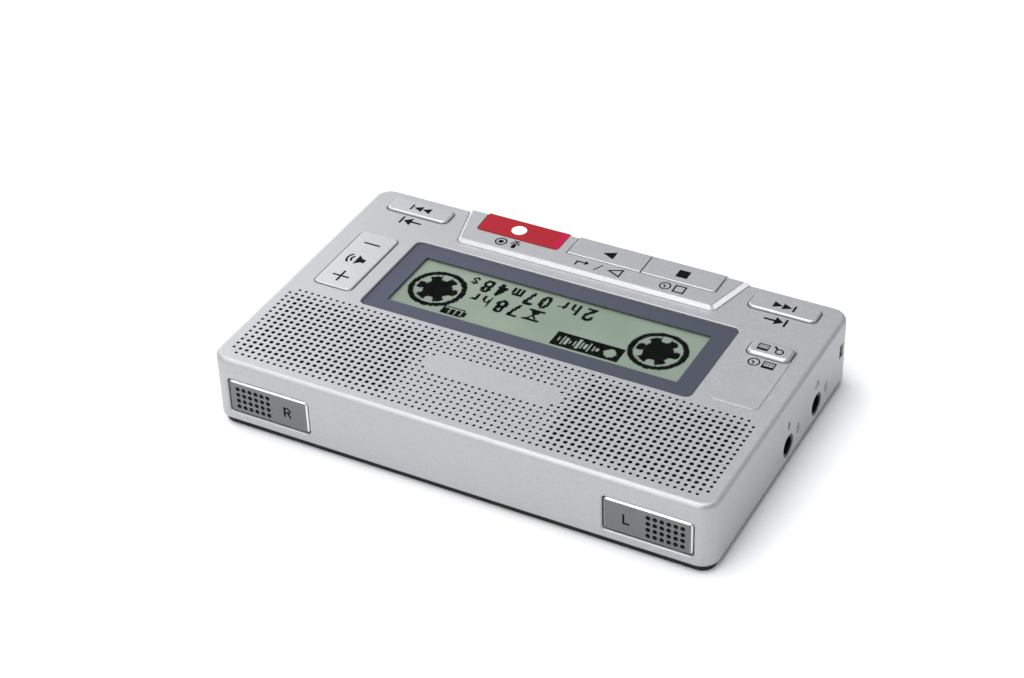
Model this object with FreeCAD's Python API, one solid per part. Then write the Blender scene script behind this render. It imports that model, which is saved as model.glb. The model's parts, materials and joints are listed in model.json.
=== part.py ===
import FreeCAD, Part
import math
import os

# A pocket digital dictation recorder the size of a boxed compact cassette, lying on its back.
# Millimetres. +X runs to the user's right, +Y away from the user, +Z up.
# The origin is on the resting surface, at the middle of the object's plan.

V = FreeCAD.Vector

# ---- driving dimensions -------------------------------------------------------------------
LENGTH = 102.4          # case along X
WIDTH = 64.4            # case along Y
TOP_Z = 15.4            # flat top of the silver case
SKIRT_Z = 1.8           # lower edge of the silver walls
CORNER_R = 3.4          # plan corners of the case
TOP_FILLET = 1.0        # rounding between top and walls
WALL = 1.4              # thickness of walls and roof
KEY_GAP = 0.2           # air around every key
KEY_TRAVEL = 0.4        # how far a key goes down before its switch stops it
FLANGE_TOP_Z = 13.6     # top of the flange that keeps a key in the case
FLANGE_W = 0.8

HALF_L = LENGTH / 2
HALF_W = WIDTH / 2
ROOF_Z = TOP_Z - WALL   # underside of the roof

# speaker grille: a square field of round holes
HOLE_PITCH = 1.4
HOLE_COLUMNS = 70
HOLE_ROWS = 17
GRILLE_MARGIN = 0.7     # from the outer hole centres to the edge of the field
GRILLE_BACK_Y = 29.4    # centre of the row of holes nearest the microphone edge
GRILLE_T = 0.6
CLOTH_T = 0.15
SMALL_HOLE_R = 0.31
LARGE_HOLE_R = 0.43
ZONE_X = 31.7           # middle of each zone of large holes, to either side
ZONE_Y = 18.35
ZONE_HALF_X = 14.2
ZONE_HALF_Y = 8.5
ZONE_FADE = 3.0         # over this distance the holes shrink outside a zone

# display window and screen
WINDOW_HALF_X = 34.7
WINDOW_Y = (-17.95, 5.55)
WINDOW_R = 1.4
WINDOW_T = 0.6
WINDOW_SUNK = 0.12      # how far the window lies below the case's top
WINDOW_LEDGE = 1.3
WINDOW_RIM = 0.14       # chamfer of the case round the window
SCREEN_HALF_X = 32.6
SCREEN_Y = (-15.6, 4.0)
SCREEN_TOP_Z = 14.3
SCREEN_T = 1.6
SCREEN_FRAME_T = 1.3
STRIP_W = 1.8           # soft contact strips between the board and the screen
STRIP_HALF_L = 31.0

# main board and its switches
BOARD_TOP_Z = 10.2
BOARD_T = 1.0
BOARD_Y = (-30.4, 5.2)
BOARD_HALF_X = 49.3
BOARD_NOTCH = 1.6       # cut out of its two corners nearest the user
SWITCH_SIDE = 3.0
SWITCH_BODY_H = 1.5
SWITCH_STEM_H = 0.4
SWITCH_STEM_R = 0.8
KEY_FLOOR_Z = BOARD_TOP_Z + SWITCH_BODY_H + SWITCH_STEM_H + KEY_TRAVEL + 0.1

# raised trapezoid that carries the three large keys
BEZEL_FRONT_Y = -20.85
BEZEL_FRONT_HALF_X = 27.6
BEZEL_BACK_HALF_X = 30.55
BEZEL_SUNK = 0.4        # how deep its foot stands in the case's top
BEZEL_GROOVE = 0.14     # air between its foot and the case
BEZEL_SHOULDER_Z = 16.15
BEZEL_TOP_Z = 16.3
BEZEL_BLOCK_Z = 12.0
BEZEL_RUNS = (0.34, 0.6, 0.95)   # how far the bevel leans in at the front, the sides and the back
BEZEL_CORNER_R = 1.3
BEZEL_BACK_CORNER_R = 0.2
PLATE_SEAM = 0.05       # ledge between the bright frame and its top plate
PLATE_RUN = 0.12        # bevel of the top plate

# the three large keys, which reach the edge nearest the user
BIG_KEY_Y = (-32.1, -25.4)
BIG_KEY_TOP_Z = 16.5
BIG_KEY_BACK_R = 1.25   # rounding along the edge nearest the user
BIG_KEY_EDGE_R = 0.22
BIG_KEY_CORNER_R = 0.6
SHARP_R = 0.12
BIG_KEY_GAPS = (0.26, 0.12)   # air beside the large keys, and in front of them
STOP_X = (-26.0, -10.4)
PLAY_X = (-10.2, 5.5)
RECORD_X = (7.8, 25.5)
RECORD_LEAN = 0.4       # its outer end leans away towards the user
LIGHT_W = 1.25          # the clear end of the record key
LIGHT_DROP = 0.4
LIGHT_CUT = 0.7         # the cut corner of the light

# small keys and the volume rocker
SKIP_X = (32.7, 46.5)
SKIP_Y = (-29.7, -25.1)
SKIP_TOP_Z = 15.85
SKIP_EDGE_R = 0.44
SMALL_KEY_R = 1.2
SEARCH_X = (-46.8, -38.3)
SEARCH_Y = (-15.7, -11.25)
SEARCH_TOP_Z = 16.15
SEARCH_EDGE_R = 0.7
PAD_X = (-47.1, -37.4)
PAD_Y = (-16.2, 3.95)
PAD_H = 0.15
ROCKER_X = (38.0, 46.3)
ROCKER_Y = (-16.05, 3.25)
ROCKER_TOP_Z = 15.62
ROCKER_EDGE_R = 0.25
ROCKER_AXIS_Z = 13.0
TRUNNION_R = 0.55
TRUNNION_PLAY = 0.05
TRUNNION_REACH = 1.7    # how far the axle stands out of the rocker
LUG_T = 0.8             # the two lugs that hold the axle
LUG_HALF_Y = 1.3
LUG_DROP = 1.2
LUG_AIR = 1.0

# microphone plates in the edge away from the user
PLATE_X = (30.0, 47.7)
PLATE_Z = (3.45, 11.05)
PLATE_POCKET = 0.95
PLATE_T = 0.72
PLATE_GAP = 0.3
PLATE_EDGE = 0.3        # bevel round the plate
PLATE_R = 0.8
FELT_T = 0.18
MIC_X = 42.25
MIC_Z = 7.1
MIC_HOLE_R = 0.47
MIC_HOLE_PITCH = (1.32, 1.34)
MIC_COLUMNS = 6
MIC_ROWS = 4
CAPSULE_R = 2.0
BOOT_R = 2.6
BOOT_Y = 28.95
BOOT_FLOOR = 0.6

# sockets in the left wall
JACK_YS = {"earphone_jack": -15.5, "microphone_jack": -1.8}
JACK_Z = 4.9
JACK_HALF_W = 3.1
JACK_BODY_L = 12.2
JACK_FOOT = 2.6         # from its axis to its underside
JACK_BORE_R = 1.8
JACK_NOSE_R = 2.22
JACK_HOLE_R = 2.3
JACK_DEPTH = 11.6
JACK_RECESS = 0.15
JACK_AIR = 0.2

# raised dot beside the microphone socket
BUMP_R = 0.8
BUMP_H = 0.25
BUMP_YZ = (2.9, 4.6)

# strap slot near the corner of the left wall
STRAP_Y = (-28.4, -26.7)
STRAP_Z = (7.6, 10.6)
STRAP_DEPTH = 2.4
STRAP_BAR_R = 0.45
STRAP_BAR_X = -HALF_L + 0.9
STRAP_BLOCK_T = 2.2     # block behind the wall that the slot is cut in

# hold slide in the right wall
HOLD_Y = (-14.4, -6.8)
HOLD_Z = (5.4, 9.4)
HOLD_DEPTH = 0.9
HOLD_KNOB_L = 4.2
HOLD_TRAVEL = 3.0
HOLD_AIR = 0.2
HOLD_STEM_W = 1.2

# bottom cover, battery bay and door
COVER_INSET = 0.75
COVER_FLOOR_T = 1.4
COVER_EDGE = 0.2
LIP_TOP_Z = 3.4
LIP_T = 1.0
LIP_INSET = 0.8
RAIL_H = 1.0            # rails beside the door's tongues
RAIL_W = 0.9
BAY_X = (-5.4, 44.2)
BAY_Y = (5.7, 28.85)
BAY_WALL = 0.7
BAY_TOP_Z = 12.9
DOOR_X = (-5.6, 43.6)
DOOR_FRONT_Y = 5.2
DOOR_TONGUE = 0.9
DOOR_GAP = 0.15
GRIP_COUNT = 5          # grooves across the door's outer end
GRIP_Y = 25.4
GRIP_PITCH = 1.1
GRIP_HALF_L = 7.0
GRIP_W = 0.5
GRIP_DEPTH = 0.3
CELL_R = 5.25
CELL_BODY_L = 43.3
CELL_TIP_L = 1.2
CELL_TIP_R = 1.9
CELL_YS = (11.75, 22.8)
CELL_Z = 7.35
CELL_RIM = 0.4
CONTACT_T = 0.3         # sheet of the battery contacts
CONTACT_HALF_W = 4.2
CONTACT_HALF_H = 4.0
LEAF_T = 0.3            # bent leaf that presses on a cell's flat end
LEAF_HALF_L = 4.0
LEAF_HALF_W = 2.2
LEAF_FLAT = 1.0         # half the flat part that touches the cell

# screws, from below into bosses under the roof
SCREW_SPOTS = ((-46.0, -21.6), (46.0, -21.6), (-47.2, 28.0), (47.2, 28.0))
BOSS_R = 2.3
SCREW_R = 0.85
SCREW_HEAD_R = 1.9
SCREW_HEAD_Z = (0.4, 1.5)
SCREW_TOP_Z = 9.0
CROSS_HALF_L = 1.1      # cross recess in the screw's head
CROSS_HALF_W = 0.22
CROSS_DEPTH = 0.5
SEAT_R = 3.0
SEAT_TOP_Z = 2.8

# loudspeaker
SPEAKER_X = -ZONE_X
SPEAKER_Y = ZONE_Y
SPEAKER_R = 11.5
SPEAKER_TOP_Z = 13.2


# ---- helpers ------------------------------------------------------------------------------
def box(xs, ys, zs):
    """A box between two values along each axis."""
    return Part.makeBox(xs[1] - xs[0], ys[1] - ys[0], zs[1] - zs[0], V(xs[0], ys[0], zs[0]))


def cylinder(r, x, y, zs):
    return Part.makeCylinder(r, zs[1] - zs[0], V(x, y, zs[0]))


def rod_x(r, xs, y, z):
    """A round rod along X."""
    return Part.makeCylinder(r, xs[1] - xs[0], V(xs[0], y, z), V(1, 0, 0))


def rod_y(r, x, ys, z):
    """A round rod along Y."""
    return Part.makeCylinder(r, ys[1] - ys[0], V(x, ys[0], z), V(0, 1, 0))


def rounded_outline(points, radii, z):
    """A closed wire through plan points, counter-clockwise, with each corner rounded."""
    count = len(points)
    starts, ends, middles = [], [], []
    for i, (point, r) in enumerate(zip(points, radii)):
        here = V(point[0], point[1], z)
        before = (V(*points[i - 1], z) - here).normalize()
        after = (V(*points[(i + 1) % count], z) - here).normalize()
        half_turn = before.getAngle(after) / 2
        reach = r / math.tan(half_turn)
        starts.append(here + before * reach)
        ends.append(here + after * reach)
        centre = here + (before + after).normalize() * (r / math.sin(half_turn))
        middles.append(centre + (here - centre).normalize() * r)
    edges = []
    for i in range(count):
        edges.append(Part.Arc(starts[i], middles[i], ends[i]).toShape())
        edges.append(Part.LineSegment(ends[i], starts[(i + 1) % count]).toShape())
    return Part.Wire(edges)


def rectangle(xs, ys):
    return [(xs[0], ys[0]), (xs[1], ys[0]), (xs[1], ys[1]), (xs[0], ys[1])]


def rounded_box(xs, ys, zs, r):
    """A box whose four upright edges are rounded."""
    outline = rounded_outline(rectangle(xs, ys), [r] * 4, zs[0])
    return Part.Face(outline).extrude(V(0, 0, zs[1] - zs[0]))


def grown(span, by):
    return (span[0] - by, span[1] + by)


def middle(span):
    return (span[0] + span[1]) / 2


def level_edges(shape, z):
    """The edges that lie in the level plane at height z."""
    return [e for e in shape.Edges if e.BoundBox.ZMin > z - 1e-4 and e.BoundBox.ZMax < z + 1e-4]


def soft_top(shape, z, r):
    return shape.makeFillet(r, level_edges(shape, z))


def mirrored(shape):
    """The same shape on the other side of the plane X = 0."""
    return shape.mirror(V(0, 0, 0), V(1, 0, 0))


def revolved(profile, x, y):
    """A solid turned about the upright line at x, y, from (radius, z) points."""
    points = [V(x + r, y, z) for r, z in profile]
    face = Part.Face(Part.makePolygon(points + points[:1]))
    return face.revolve(V(x, y, 0), V(0, 0, 1), 360)


def save(name, *solids):
    """Write one node; several solids stay separate in it."""
    shape = solids[0] if len(solids) == 1 else Part.makeCompound(list(solids))
    shape.exportStep(f"parts/{name}.step")


# ---- case ---------------------------------------------------------------------------------
LAST_HOLE_X = (HOLE_COLUMNS - 1) / 2 * HOLE_PITCH
GRILLE_X = grown((-LAST_HOLE_X, LAST_HOLE_X), GRILLE_MARGIN)
GRILLE_Y = grown((GRILLE_BACK_Y - (HOLE_ROWS - 1) * HOLE_PITCH, GRILLE_BACK_Y), GRILLE_MARGIN)
SMALL_KEYS = {
    "skip_back_key": ((-SKIP_X[1], -SKIP_X[0]), SKIP_Y, SKIP_TOP_Z, SKIP_EDGE_R),
    "skip_forward_key": (SKIP_X, SKIP_Y, SKIP_TOP_Z, SKIP_EDGE_R),
    "search_key": (SEARCH_X, SEARCH_Y, SEARCH_TOP_Z, SEARCH_EDGE_R),
}
ROCKER_MID_Y = middle(ROCKER_Y)
WINDOW_Z = (TOP_Z - WINDOW_SUNK - WINDOW_T, TOP_Z - WINDOW_SUNK)
HOLE_EDGE = 0.2         # chamfer round the plates' pockets and the bezel's groove
KEY_HOLE_EDGE = 0.08    # chamfer round each small key's hole
HOLD_KNOB_Y = (HOLD_Y[0] + HOLD_AIR, HOLD_Y[0] + HOLD_AIR + HOLD_KNOB_L)
HOLD_STEM_Y = grown((middle(HOLD_KNOB_Y), middle(HOLD_KNOB_Y)), HOLD_STEM_W / 2)


def flared_mouth(xs, ys, r, edge, z):
    """What a chamfer of that width takes out round a rounded opening, under height z."""
    inner = rounded_outline(rectangle(xs, ys), [r] * 4, z - edge)
    outer = rounded_outline(rectangle(grown(xs, edge), grown(ys, edge)), [r + edge] * 4, z)
    return Part.makeLoft([inner, outer], True, True)


def key_hole(xs, ys, top_z):
    """What a small key's hole takes out of the roof, with a chamfered mouth."""
    xs, ys, r = grown(xs, KEY_GAP), grown(ys, KEY_GAP), SMALL_KEY_R + KEY_GAP
    shaft = rounded_box(xs, ys, (ROOF_Z - 1, top_z + 1), r)
    return shaft.fuse(flared_mouth(xs, ys, r, KEY_HOLE_EDGE, top_z))


def plate_pocket():
    """The pocket for the right microphone plate, with a chamfered mouth and the capsule's hole."""
    pocket = rounded_box(PLATE_X, PLATE_Z, (-PLATE_POCKET, 0), PLATE_R)
    pocket = pocket.fuse(flared_mouth(PLATE_X, PLATE_Z, PLATE_R, HOLE_EDGE, 0))
    pocket = pocket.mirror(V(0, 0, 0), V(0, 0, 1))
    pocket.rotate(V(0, 0, 0), V(1, 0, 0), 90)
    pocket.translate(V(0, HALF_W, 0))
    return pocket.fuse(rod_y(CAPSULE_R + 0.1, MIC_X, (HALF_W - 2 * WALL, HALF_W - 0.5), MIC_Z))


def corner_web(x, y):
    """A block that ties a boss beside the grille to the corner of the walls."""
    side = math.copysign(1, x)
    xs = sorted((x, side * (HALF_L - WALL / 2)))
    web = box(xs, (y, HALF_W - WALL / 2), (SEAT_TOP_Z + 1.2, ROOF_Z))
    inside = rounded_box((-HALF_L, HALF_L), (-HALF_W, HALF_W), (0, TOP_Z), CORNER_R)
    return web.common(inside)


def front_case():
    outer = rounded_box((-HALF_L, HALF_L), (-HALF_W, HALF_W), (SKIRT_Z, TOP_Z), CORNER_R)
    outer = soft_top(outer, TOP_Z, TOP_FILLET)
    inside_x, inside_y = grown((-HALF_L, HALF_L), -WALL), grown((-HALF_W, HALF_W), -WALL)
    case = outer.cut(rounded_box(inside_x, inside_y, (SKIRT_Z - 1, ROOF_Z), CORNER_R - WALL))
    bosses = [cylinder(BOSS_R, x, y, (SEAT_TOP_Z, ROOF_Z)) for x, y in SCREW_SPOTS]
    bosses += [corner_web(x, y) for x, y in SCREW_SPOTS if y > 0]
    block_x = (inside_x[0], inside_x[0] + STRAP_BLOCK_T)
    strap_block = box(block_x, grown(STRAP_Y, 1.1), (STRAP_Z[0] - 1.2, ROOF_Z))
    pad = rounded_box(PAD_X, PAD_Y, (TOP_Z - 0.2, TOP_Z + PAD_H), SMALL_KEY_R)
    pad = pad.makeChamfer(0.1, level_edges(pad, TOP_Z + PAD_H))
    lug_y = (ROCKER_MID_Y - LUG_HALF_Y, ROCKER_MID_Y + LUG_HALF_Y)
    lugs = []
    for x in (ROCKER_X[0] - LUG_AIR - LUG_T, ROCKER_X[1] + LUG_AIR):
        lugs.append(box((x, x + LUG_T), lug_y, (ROCKER_AXIS_Z - LUG_DROP, ROOF_Z)))
    case = case.fuse(bosses + [strap_block, pad] + lugs)

    cuts = [cylinder(SCREW_R, x, y, (SEAT_TOP_Z - 1, SCREW_TOP_Z + 0.5)) for x, y in SCREW_SPOTS]
    cuts.append(box(GRILLE_X, GRILLE_Y, (ROOF_Z - 1, TOP_Z + 1)))
    window_x = (-WINDOW_HALF_X, WINDOW_HALF_X)
    cuts.append(rounded_box(window_x, WINDOW_Y, (WINDOW_Z[0], TOP_Z + 1), WINDOW_R))
    cuts.append(flared_mouth(window_x, WINDOW_Y, WINDOW_R, WINDOW_RIM, TOP_Z))
    ledge_x, ledge_y = grown(window_x, -WINDOW_LEDGE), grown(WINDOW_Y, -WINDOW_LEDGE)
    cuts.append(rounded_box(ledge_x, ledge_y, (ROOF_Z - 1, TOP_Z), WINDOW_R / 2))
    cuts += [key_hole(xs, SKIP_Y, TOP_Z) for xs in (SKIP_X, (-SKIP_X[1], -SKIP_X[0]))]
    cuts.append(key_hole(SEARCH_X, SEARCH_Y, TOP_Z + PAD_H))
    cuts.append(key_hole(ROCKER_X, ROCKER_Y, TOP_Z))
    cuts += [bezel_seat(), key_end_blocks(1)]
    cuts.append(rod_x(TRUNNION_R + TRUNNION_PLAY, grown(ROCKER_X, 3), ROCKER_MID_Y, ROCKER_AXIS_Z))
    cuts += [plate_pocket(), mirrored(plate_pocket())]
    cuts += [rod_x(JACK_HOLE_R, (-HALF_L - 1, -HALF_L + WALL + 1), y, JACK_Z) for y in JACK_YS.values()]
    cuts.append(box((-HALF_L - 1, -HALF_L + STRAP_DEPTH), STRAP_Y, STRAP_Z))
    cuts.append(cylinder(STRAP_BAR_R, STRAP_BAR_X, middle(STRAP_Y), grown(STRAP_Z, 0.6)))
    cuts.append(box((HALF_L - HOLD_DEPTH, HALF_L + 1), HOLD_Y, HOLD_Z))
    stem_y = grown(HOLD_STEM_Y, HOLD_AIR)
    stem_room = box((HALF_L - WALL - 1, HALF_L), (stem_y[0], stem_y[1] + HOLD_TRAVEL), grown(HOLD_Z, -1.4))
    cuts.append(stem_room)
    case = case.cut(cuts)
    bump = Part.makeSphere(BUMP_R, V(-HALF_L + BUMP_R - BUMP_H, *BUMP_YZ))
    bump = bump.common(box((-HALF_L - 1, -HALF_L + 0.4), grown((BUMP_YZ[0], BUMP_YZ[0]), 2), (0, TOP_Z)))
    return case.fuse(bump).removeSplitter()


def hole_radius(x, y):
    """Large holes over the two zones, shrinking to small ones outside them."""
    outside_x = max(abs(abs(x) - ZONE_X) - ZONE_HALF_X, 0)
    outside_y = max(abs(y - ZONE_Y) - ZONE_HALF_Y, 0)
    near = max(1 - math.hypot(outside_x, outside_y) / ZONE_FADE, 0)
    return SMALL_HOLE_R + (LARGE_HOLE_R - SMALL_HOLE_R) * near


def in_blank_strip(x, row):
    """The middle rows leave a plain strip, a little longer in its two inner rows."""
    if row in (5, 8):
        return abs(x) < 9 * HOLE_PITCH
    return row in (6, 7) and abs(x) < 10 * HOLE_PITCH


def speaker_grille():
    z = TOP_Z - GRILLE_T
    corners = [V(x, y, z) for x, y in rectangle(GRILLE_X, GRILLE_Y)]
    wires = [Part.makePolygon(corners + corners[:1])]
    for row in range(HOLE_ROWS):
        for column in range(HOLE_COLUMNS):
            x = column * HOLE_PITCH - LAST_HOLE_X
            y = GRILLE_BACK_Y - (HOLE_ROWS - 1 - row) * HOLE_PITCH
            corner = row in (0, HOLE_ROWS - 1) and column in (0, HOLE_COLUMNS - 1)
            if corner or in_blank_strip(x, row):
                continue
            wires.append(Part.Wire(Part.makeCircle(hole_radius(x, y), V(x, y, z))))
    return Part.Face(wires).extrude(V(0, 0, GRILLE_T))


# ---- key bezel ----------------------------------------------------------------------------
def bezel_outline(runs, r, z):
    """The trapezoid's outline, drawn in from its foot by runs at the front, the sides and the back."""
    slope = (BEZEL_BACK_HALF_X - BEZEL_FRONT_HALF_X) / (BEZEL_FRONT_Y + HALF_W)
    front_y, back_y = BEZEL_FRONT_Y - runs[0], -HALF_W + runs[2]

    def half_x(y):
        return BEZEL_FRONT_HALF_X + (BEZEL_FRONT_Y - y) * slope - runs[1]

    points = [
        (-half_x(back_y), back_y),
        (half_x(back_y), back_y),
        (half_x(front_y), front_y),
        (-half_x(front_y), front_y),
    ]
    return rounded_outline(points, [BEZEL_BACK_CORNER_R, BEZEL_BACK_CORNER_R, r, r], z)


def bezel_prism(runs, r, zs):
    return Part.Face(bezel_outline(runs, r, zs[0])).extrude(V(0, 0, zs[1] - zs[0]))


def bezel_seat():
    """The shallow seat in the case's top, open at the back, with a chamfered rim."""
    gap, wide = BEZEL_GROOVE, BEZEL_GROOVE + HOLE_EDGE
    seat = bezel_prism((-gap, -gap, -1), BEZEL_CORNER_R + gap, (TOP_Z - BEZEL_SUNK, TOP_Z + 1))
    rim = [
        bezel_outline((-gap, -gap, -1), BEZEL_CORNER_R + gap, TOP_Z - HOLE_EDGE),
        bezel_outline((-wide, -wide, -1), BEZEL_CORNER_R + wide, TOP_Z),
    ]
    return seat.fuse(Part.makeLoft(rim, True, True))


def key_end_blocks(behind):
    """The band along the back that the large keys stand in, reaching a distance behind the wall."""
    band = bezel_prism((0, 0, -behind), BEZEL_CORNER_R, (BEZEL_BLOCK_Z, TOP_Z - BEZEL_SUNK))
    return band.common(box((-HALF_L, HALF_L), (-HALF_W - 5, BIG_KEY_Y[1] + BIG_KEY_GAPS[1]), (0, TOP_Z)))


def key_outline(xs, back_y, front_y, radii, lean, z):
    """A large key's plan: its front corners rounded, its right end leaning out towards the back."""
    points = [(xs[0], back_y), (xs[1] + lean, back_y), (xs[1], front_y), (xs[0], front_y)]
    return rounded_outline(points, [SHARP_R, SHARP_R, radii[1], radii[0]], z)


def big_key_openings():
    side, front = BIG_KEY_GAPS
    front_y = BIG_KEY_Y[1] + front
    openings = []
    for xs, radii, lean in (
        ((STOP_X[0], PLAY_X[1]), (BIG_KEY_CORNER_R + side, SHARP_R + front), 0),
        (RECORD_X, (BIG_KEY_CORNER_R + side, BIG_KEY_CORNER_R + side), RECORD_LEAN),
    ):
        outline = key_outline(grown(xs, side), -HALF_W - 1, front_y, radii, lean, BEZEL_BLOCK_Z - 1)
        openings.append(Part.Face(outline).extrude(V(0, 0, TOP_Z)))
    return openings


def key_bezel():
    """The bright bevelled frame, with end blocks and a divider that wrap over the case's edge."""
    foot = bezel_prism((0, 0, 0), BEZEL_CORNER_R, (TOP_Z - BEZEL_SUNK, TOP_Z))
    bevel = [
        bezel_outline((0, 0, 0), BEZEL_CORNER_R, TOP_Z),
        bezel_outline(BEZEL_RUNS, BEZEL_CORNER_R - 0.3, BEZEL_SHOULDER_Z),
    ]
    frame = foot.fuse([Part.makeLoft(bevel, True, True), key_end_blocks(0)])
    return frame.cut(big_key_openings()).removeSplitter()


def key_plate():
    """The silver plate on top of the frame, round the three large keys."""
    low = bezel_outline([run + PLATE_SEAM for run in BEZEL_RUNS], BEZEL_CORNER_R - 0.4, BEZEL_SHOULDER_Z)
    high_runs = [run + PLATE_SEAM + PLATE_RUN for run in BEZEL_RUNS]
    high = bezel_outline(high_runs, BEZEL_CORNER_R - 0.5, BEZEL_TOP_Z)
    return Part.makeLoft([low, high], True, True).cut(big_key_openings())


# ---- keys ---------------------------------------------------------------------------------
def big_key(xs, radii, lean=0):
    """A large key: softened edges on top, and a wide rounding along the edge nearest the user."""
    outline = key_outline(xs, BIG_KEY_Y[0], BIG_KEY_Y[1], radii, lean, KEY_FLOOR_Z)
    cap = Part.Face(outline).extrude(V(0, 0, BIG_KEY_TOP_Z - KEY_FLOOR_Z))
    cap = soft_top(cap, BIG_KEY_TOP_Z, BIG_KEY_EDGE_R)
    long_x = (-HALF_L, HALF_L)
    blank = box(long_x, (BIG_KEY_Y[0], BIG_KEY_Y[1] + 1), (0, BIG_KEY_TOP_Z))
    back_edge = [e for e in level_edges(blank, BIG_KEY_TOP_Z) if e.BoundBox.YMax < BIG_KEY_Y[0] + 0.1]
    cap = cap.common(blank.makeFillet(BIG_KEY_BACK_R, back_edge))
    flange_y = grown((BIG_KEY_Y[1], BIG_KEY_Y[1]), 1.0)
    flange = box(grown(xs, -FLANGE_W), flange_y, (KEY_FLOOR_Z, FLANGE_TOP_Z))
    return cap.fuse(flange).removeSplitter()


def record_parts():
    """The red key and the clear light at its end, which slopes down and has a cut corner."""
    split = RECORD_X[0] + LIGHT_W
    whole = big_key(RECORD_X, (SHARP_R, BIG_KEY_CORNER_R), RECORD_LEAN)
    above = BIG_KEY_TOP_Z + 1
    key = whole.common(box((split, RECORD_X[1] + 1), grown(BIG_KEY_Y, 3), (0, above)))
    light = whole.common(box((RECORD_X[0] - 1, split), BIG_KEY_Y, (FLANGE_TOP_Z - 2, above)))
    slope = [
        V(split, -HALF_L, BIG_KEY_TOP_Z),
        V(RECORD_X[0] - 1, -HALF_L, BIG_KEY_TOP_Z - LIGHT_DROP * (1 + 1 / LIGHT_W)),
        V(RECORD_X[0] - 1, -HALF_L, above),
        V(split, -HALF_L, above),
    ]
    wedge = Part.Face(Part.makePolygon(slope + slope[:1])).extrude(V(0, HALF_L, 0))
    x, y = RECORD_X[0], BIG_KEY_Y[1]
    corner = [V(x + LIGHT_CUT + 1, y + 1, 0), V(x - 1, y + 1, 0), V(x - 1, y - LIGHT_CUT - 1, 0)]
    cut_corner = Part.Face(Part.makePolygon(corner + corner[:1])).extrude(V(0, 0, above))
    return key, light.cut([wedge, cut_corner])


def small_key(xs, ys, top_z, edge_r):
    cap = soft_top(rounded_box(xs, ys, (KEY_FLOOR_Z, top_z), SMALL_KEY_R), top_z, edge_r)
    wide_x, wide_y = grown(xs, FLANGE_W), grown(ys, FLANGE_W)
    flange = rounded_box(wide_x, wide_y, (KEY_FLOOR_Z, FLANGE_TOP_Z), SMALL_KEY_R)
    return cap.fuse(flange).removeSplitter()


def volume_rocker():
    cap = rounded_box(ROCKER_X, ROCKER_Y, (KEY_FLOOR_Z, ROCKER_TOP_Z), 1.0)
    cap = soft_top(cap, ROCKER_TOP_Z, ROCKER_EDGE_R)
    flange = box(grown(ROCKER_X, 0.7), grown(ROCKER_Y, 0.5), (KEY_FLOOR_Z, FLANGE_TOP_Z - 0.15))
    axle = rod_x(TRUNNION_R, grown(ROCKER_X, TRUNNION_REACH), ROCKER_MID_Y, ROCKER_AXIS_Z)
    return cap.fuse([flange, axle]).removeSplitter()


# ---- screen -------------------------------------------------------------------------------
def display_window():
    window = rounded_box((-WINDOW_HALF_X, WINDOW_HALF_X), WINDOW_Y, WINDOW_Z, WINDOW_R)
    return window.makeChamfer(0.08, level_edges(window, WINDOW_Z[1]))


def screen_frame():
    xs, ys = (-SCREEN_HALF_X, SCREEN_HALF_X), SCREEN_Y
    outer = box(grown(xs, SCREEN_FRAME_T), grown(ys, SCREEN_FRAME_T - 0.3), (BOARD_TOP_Z, ROOF_Z))
    return outer.cut(box(xs, ys, (BOARD_TOP_Z - 1, ROOF_Z + 1)))


def contact_strips():
    strips = []
    for y in (SCREEN_Y[0] + 0.1, SCREEN_Y[1] - STRIP_W - 0.1):
        zs = (BOARD_TOP_Z, SCREEN_TOP_Z - SCREEN_T)
        strips.append(box((-STRIP_HALF_L, STRIP_HALF_L), (y, y + STRIP_W), zs))
    return strips


# ---- board --------------------------------------------------------------------------------
SWITCH_SPOTS = [(middle(xs), middle(BIG_KEY_Y) + 0.9) for xs in (STOP_X, PLAY_X, RECORD_X)]
SWITCH_SPOTS += [(middle(xs), middle(ys)) for xs, ys, _, _ in SMALL_KEYS.values()]
SWITCH_SPOTS += [(middle(ROCKER_X), ROCKER_MID_Y + offset) for offset in (-6.4, 6.4)]


def main_board():
    board = box((-BOARD_HALF_X, BOARD_HALF_X), BOARD_Y, (BOARD_TOP_Z - BOARD_T, BOARD_TOP_Z))
    cuts = [cylinder(BOSS_R + 0.2, x, y, (0, TOP_Z)) for x, y in SCREW_SPOTS]
    strap_room_x = (-HALF_L, -HALF_L + WALL + STRAP_BLOCK_T + 0.4)
    cuts.append(box(strap_room_x, (-HALF_W, STRAP_Y[1] + 1.5), (0, TOP_Z)))
    for x in (-BOARD_HALF_X, BOARD_HALF_X):
        notch_y = (BOARD_Y[0] - 1, BOARD_Y[0] + BOARD_NOTCH)
        cuts.append(box(grown((x, x), BOARD_NOTCH), notch_y, (0, TOP_Z)))
    return board.cut(cuts)


def tact_switch(x, y):
    half, top = SWITCH_SIDE / 2, BOARD_TOP_Z + SWITCH_BODY_H
    body = box(grown((x, x), half), grown((y, y), half), (BOARD_TOP_Z, top))
    return body.fuse(cylinder(SWITCH_STEM_R, x, y, (top, top + SWITCH_STEM_H)))


def board_chips():
    """Parts under the board: x, y, length, width and height of each."""
    under = BOARD_TOP_Z - BOARD_T
    sizes = (
        (2.0, -8.0, 9.0, 9.0, 1.0),
        (20.0, -14.0, 12.0, 18.0, 1.1),
        (-16.0, -4.0, 6.0, 5.0, 1.4),
        (-20.0, -20.0, 5.0, 6.2, 1.4),
        (-4.0, -22.0, 3.2, 8.0, 1.2),
        (33.0, 0.0, 4.0, 4.0, 2.2),
        (8.0, -22.0, 3.2, 1.6, 0.9),
        (14.0, 1.5, 3.2, 1.6, 0.9),
    )
    chips = []
    for x, y, length, width, height in sizes:
        chips.append(box(grown((x, x), length / 2), grown((y, y), width / 2), (under - height, under)))
    return chips


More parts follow.
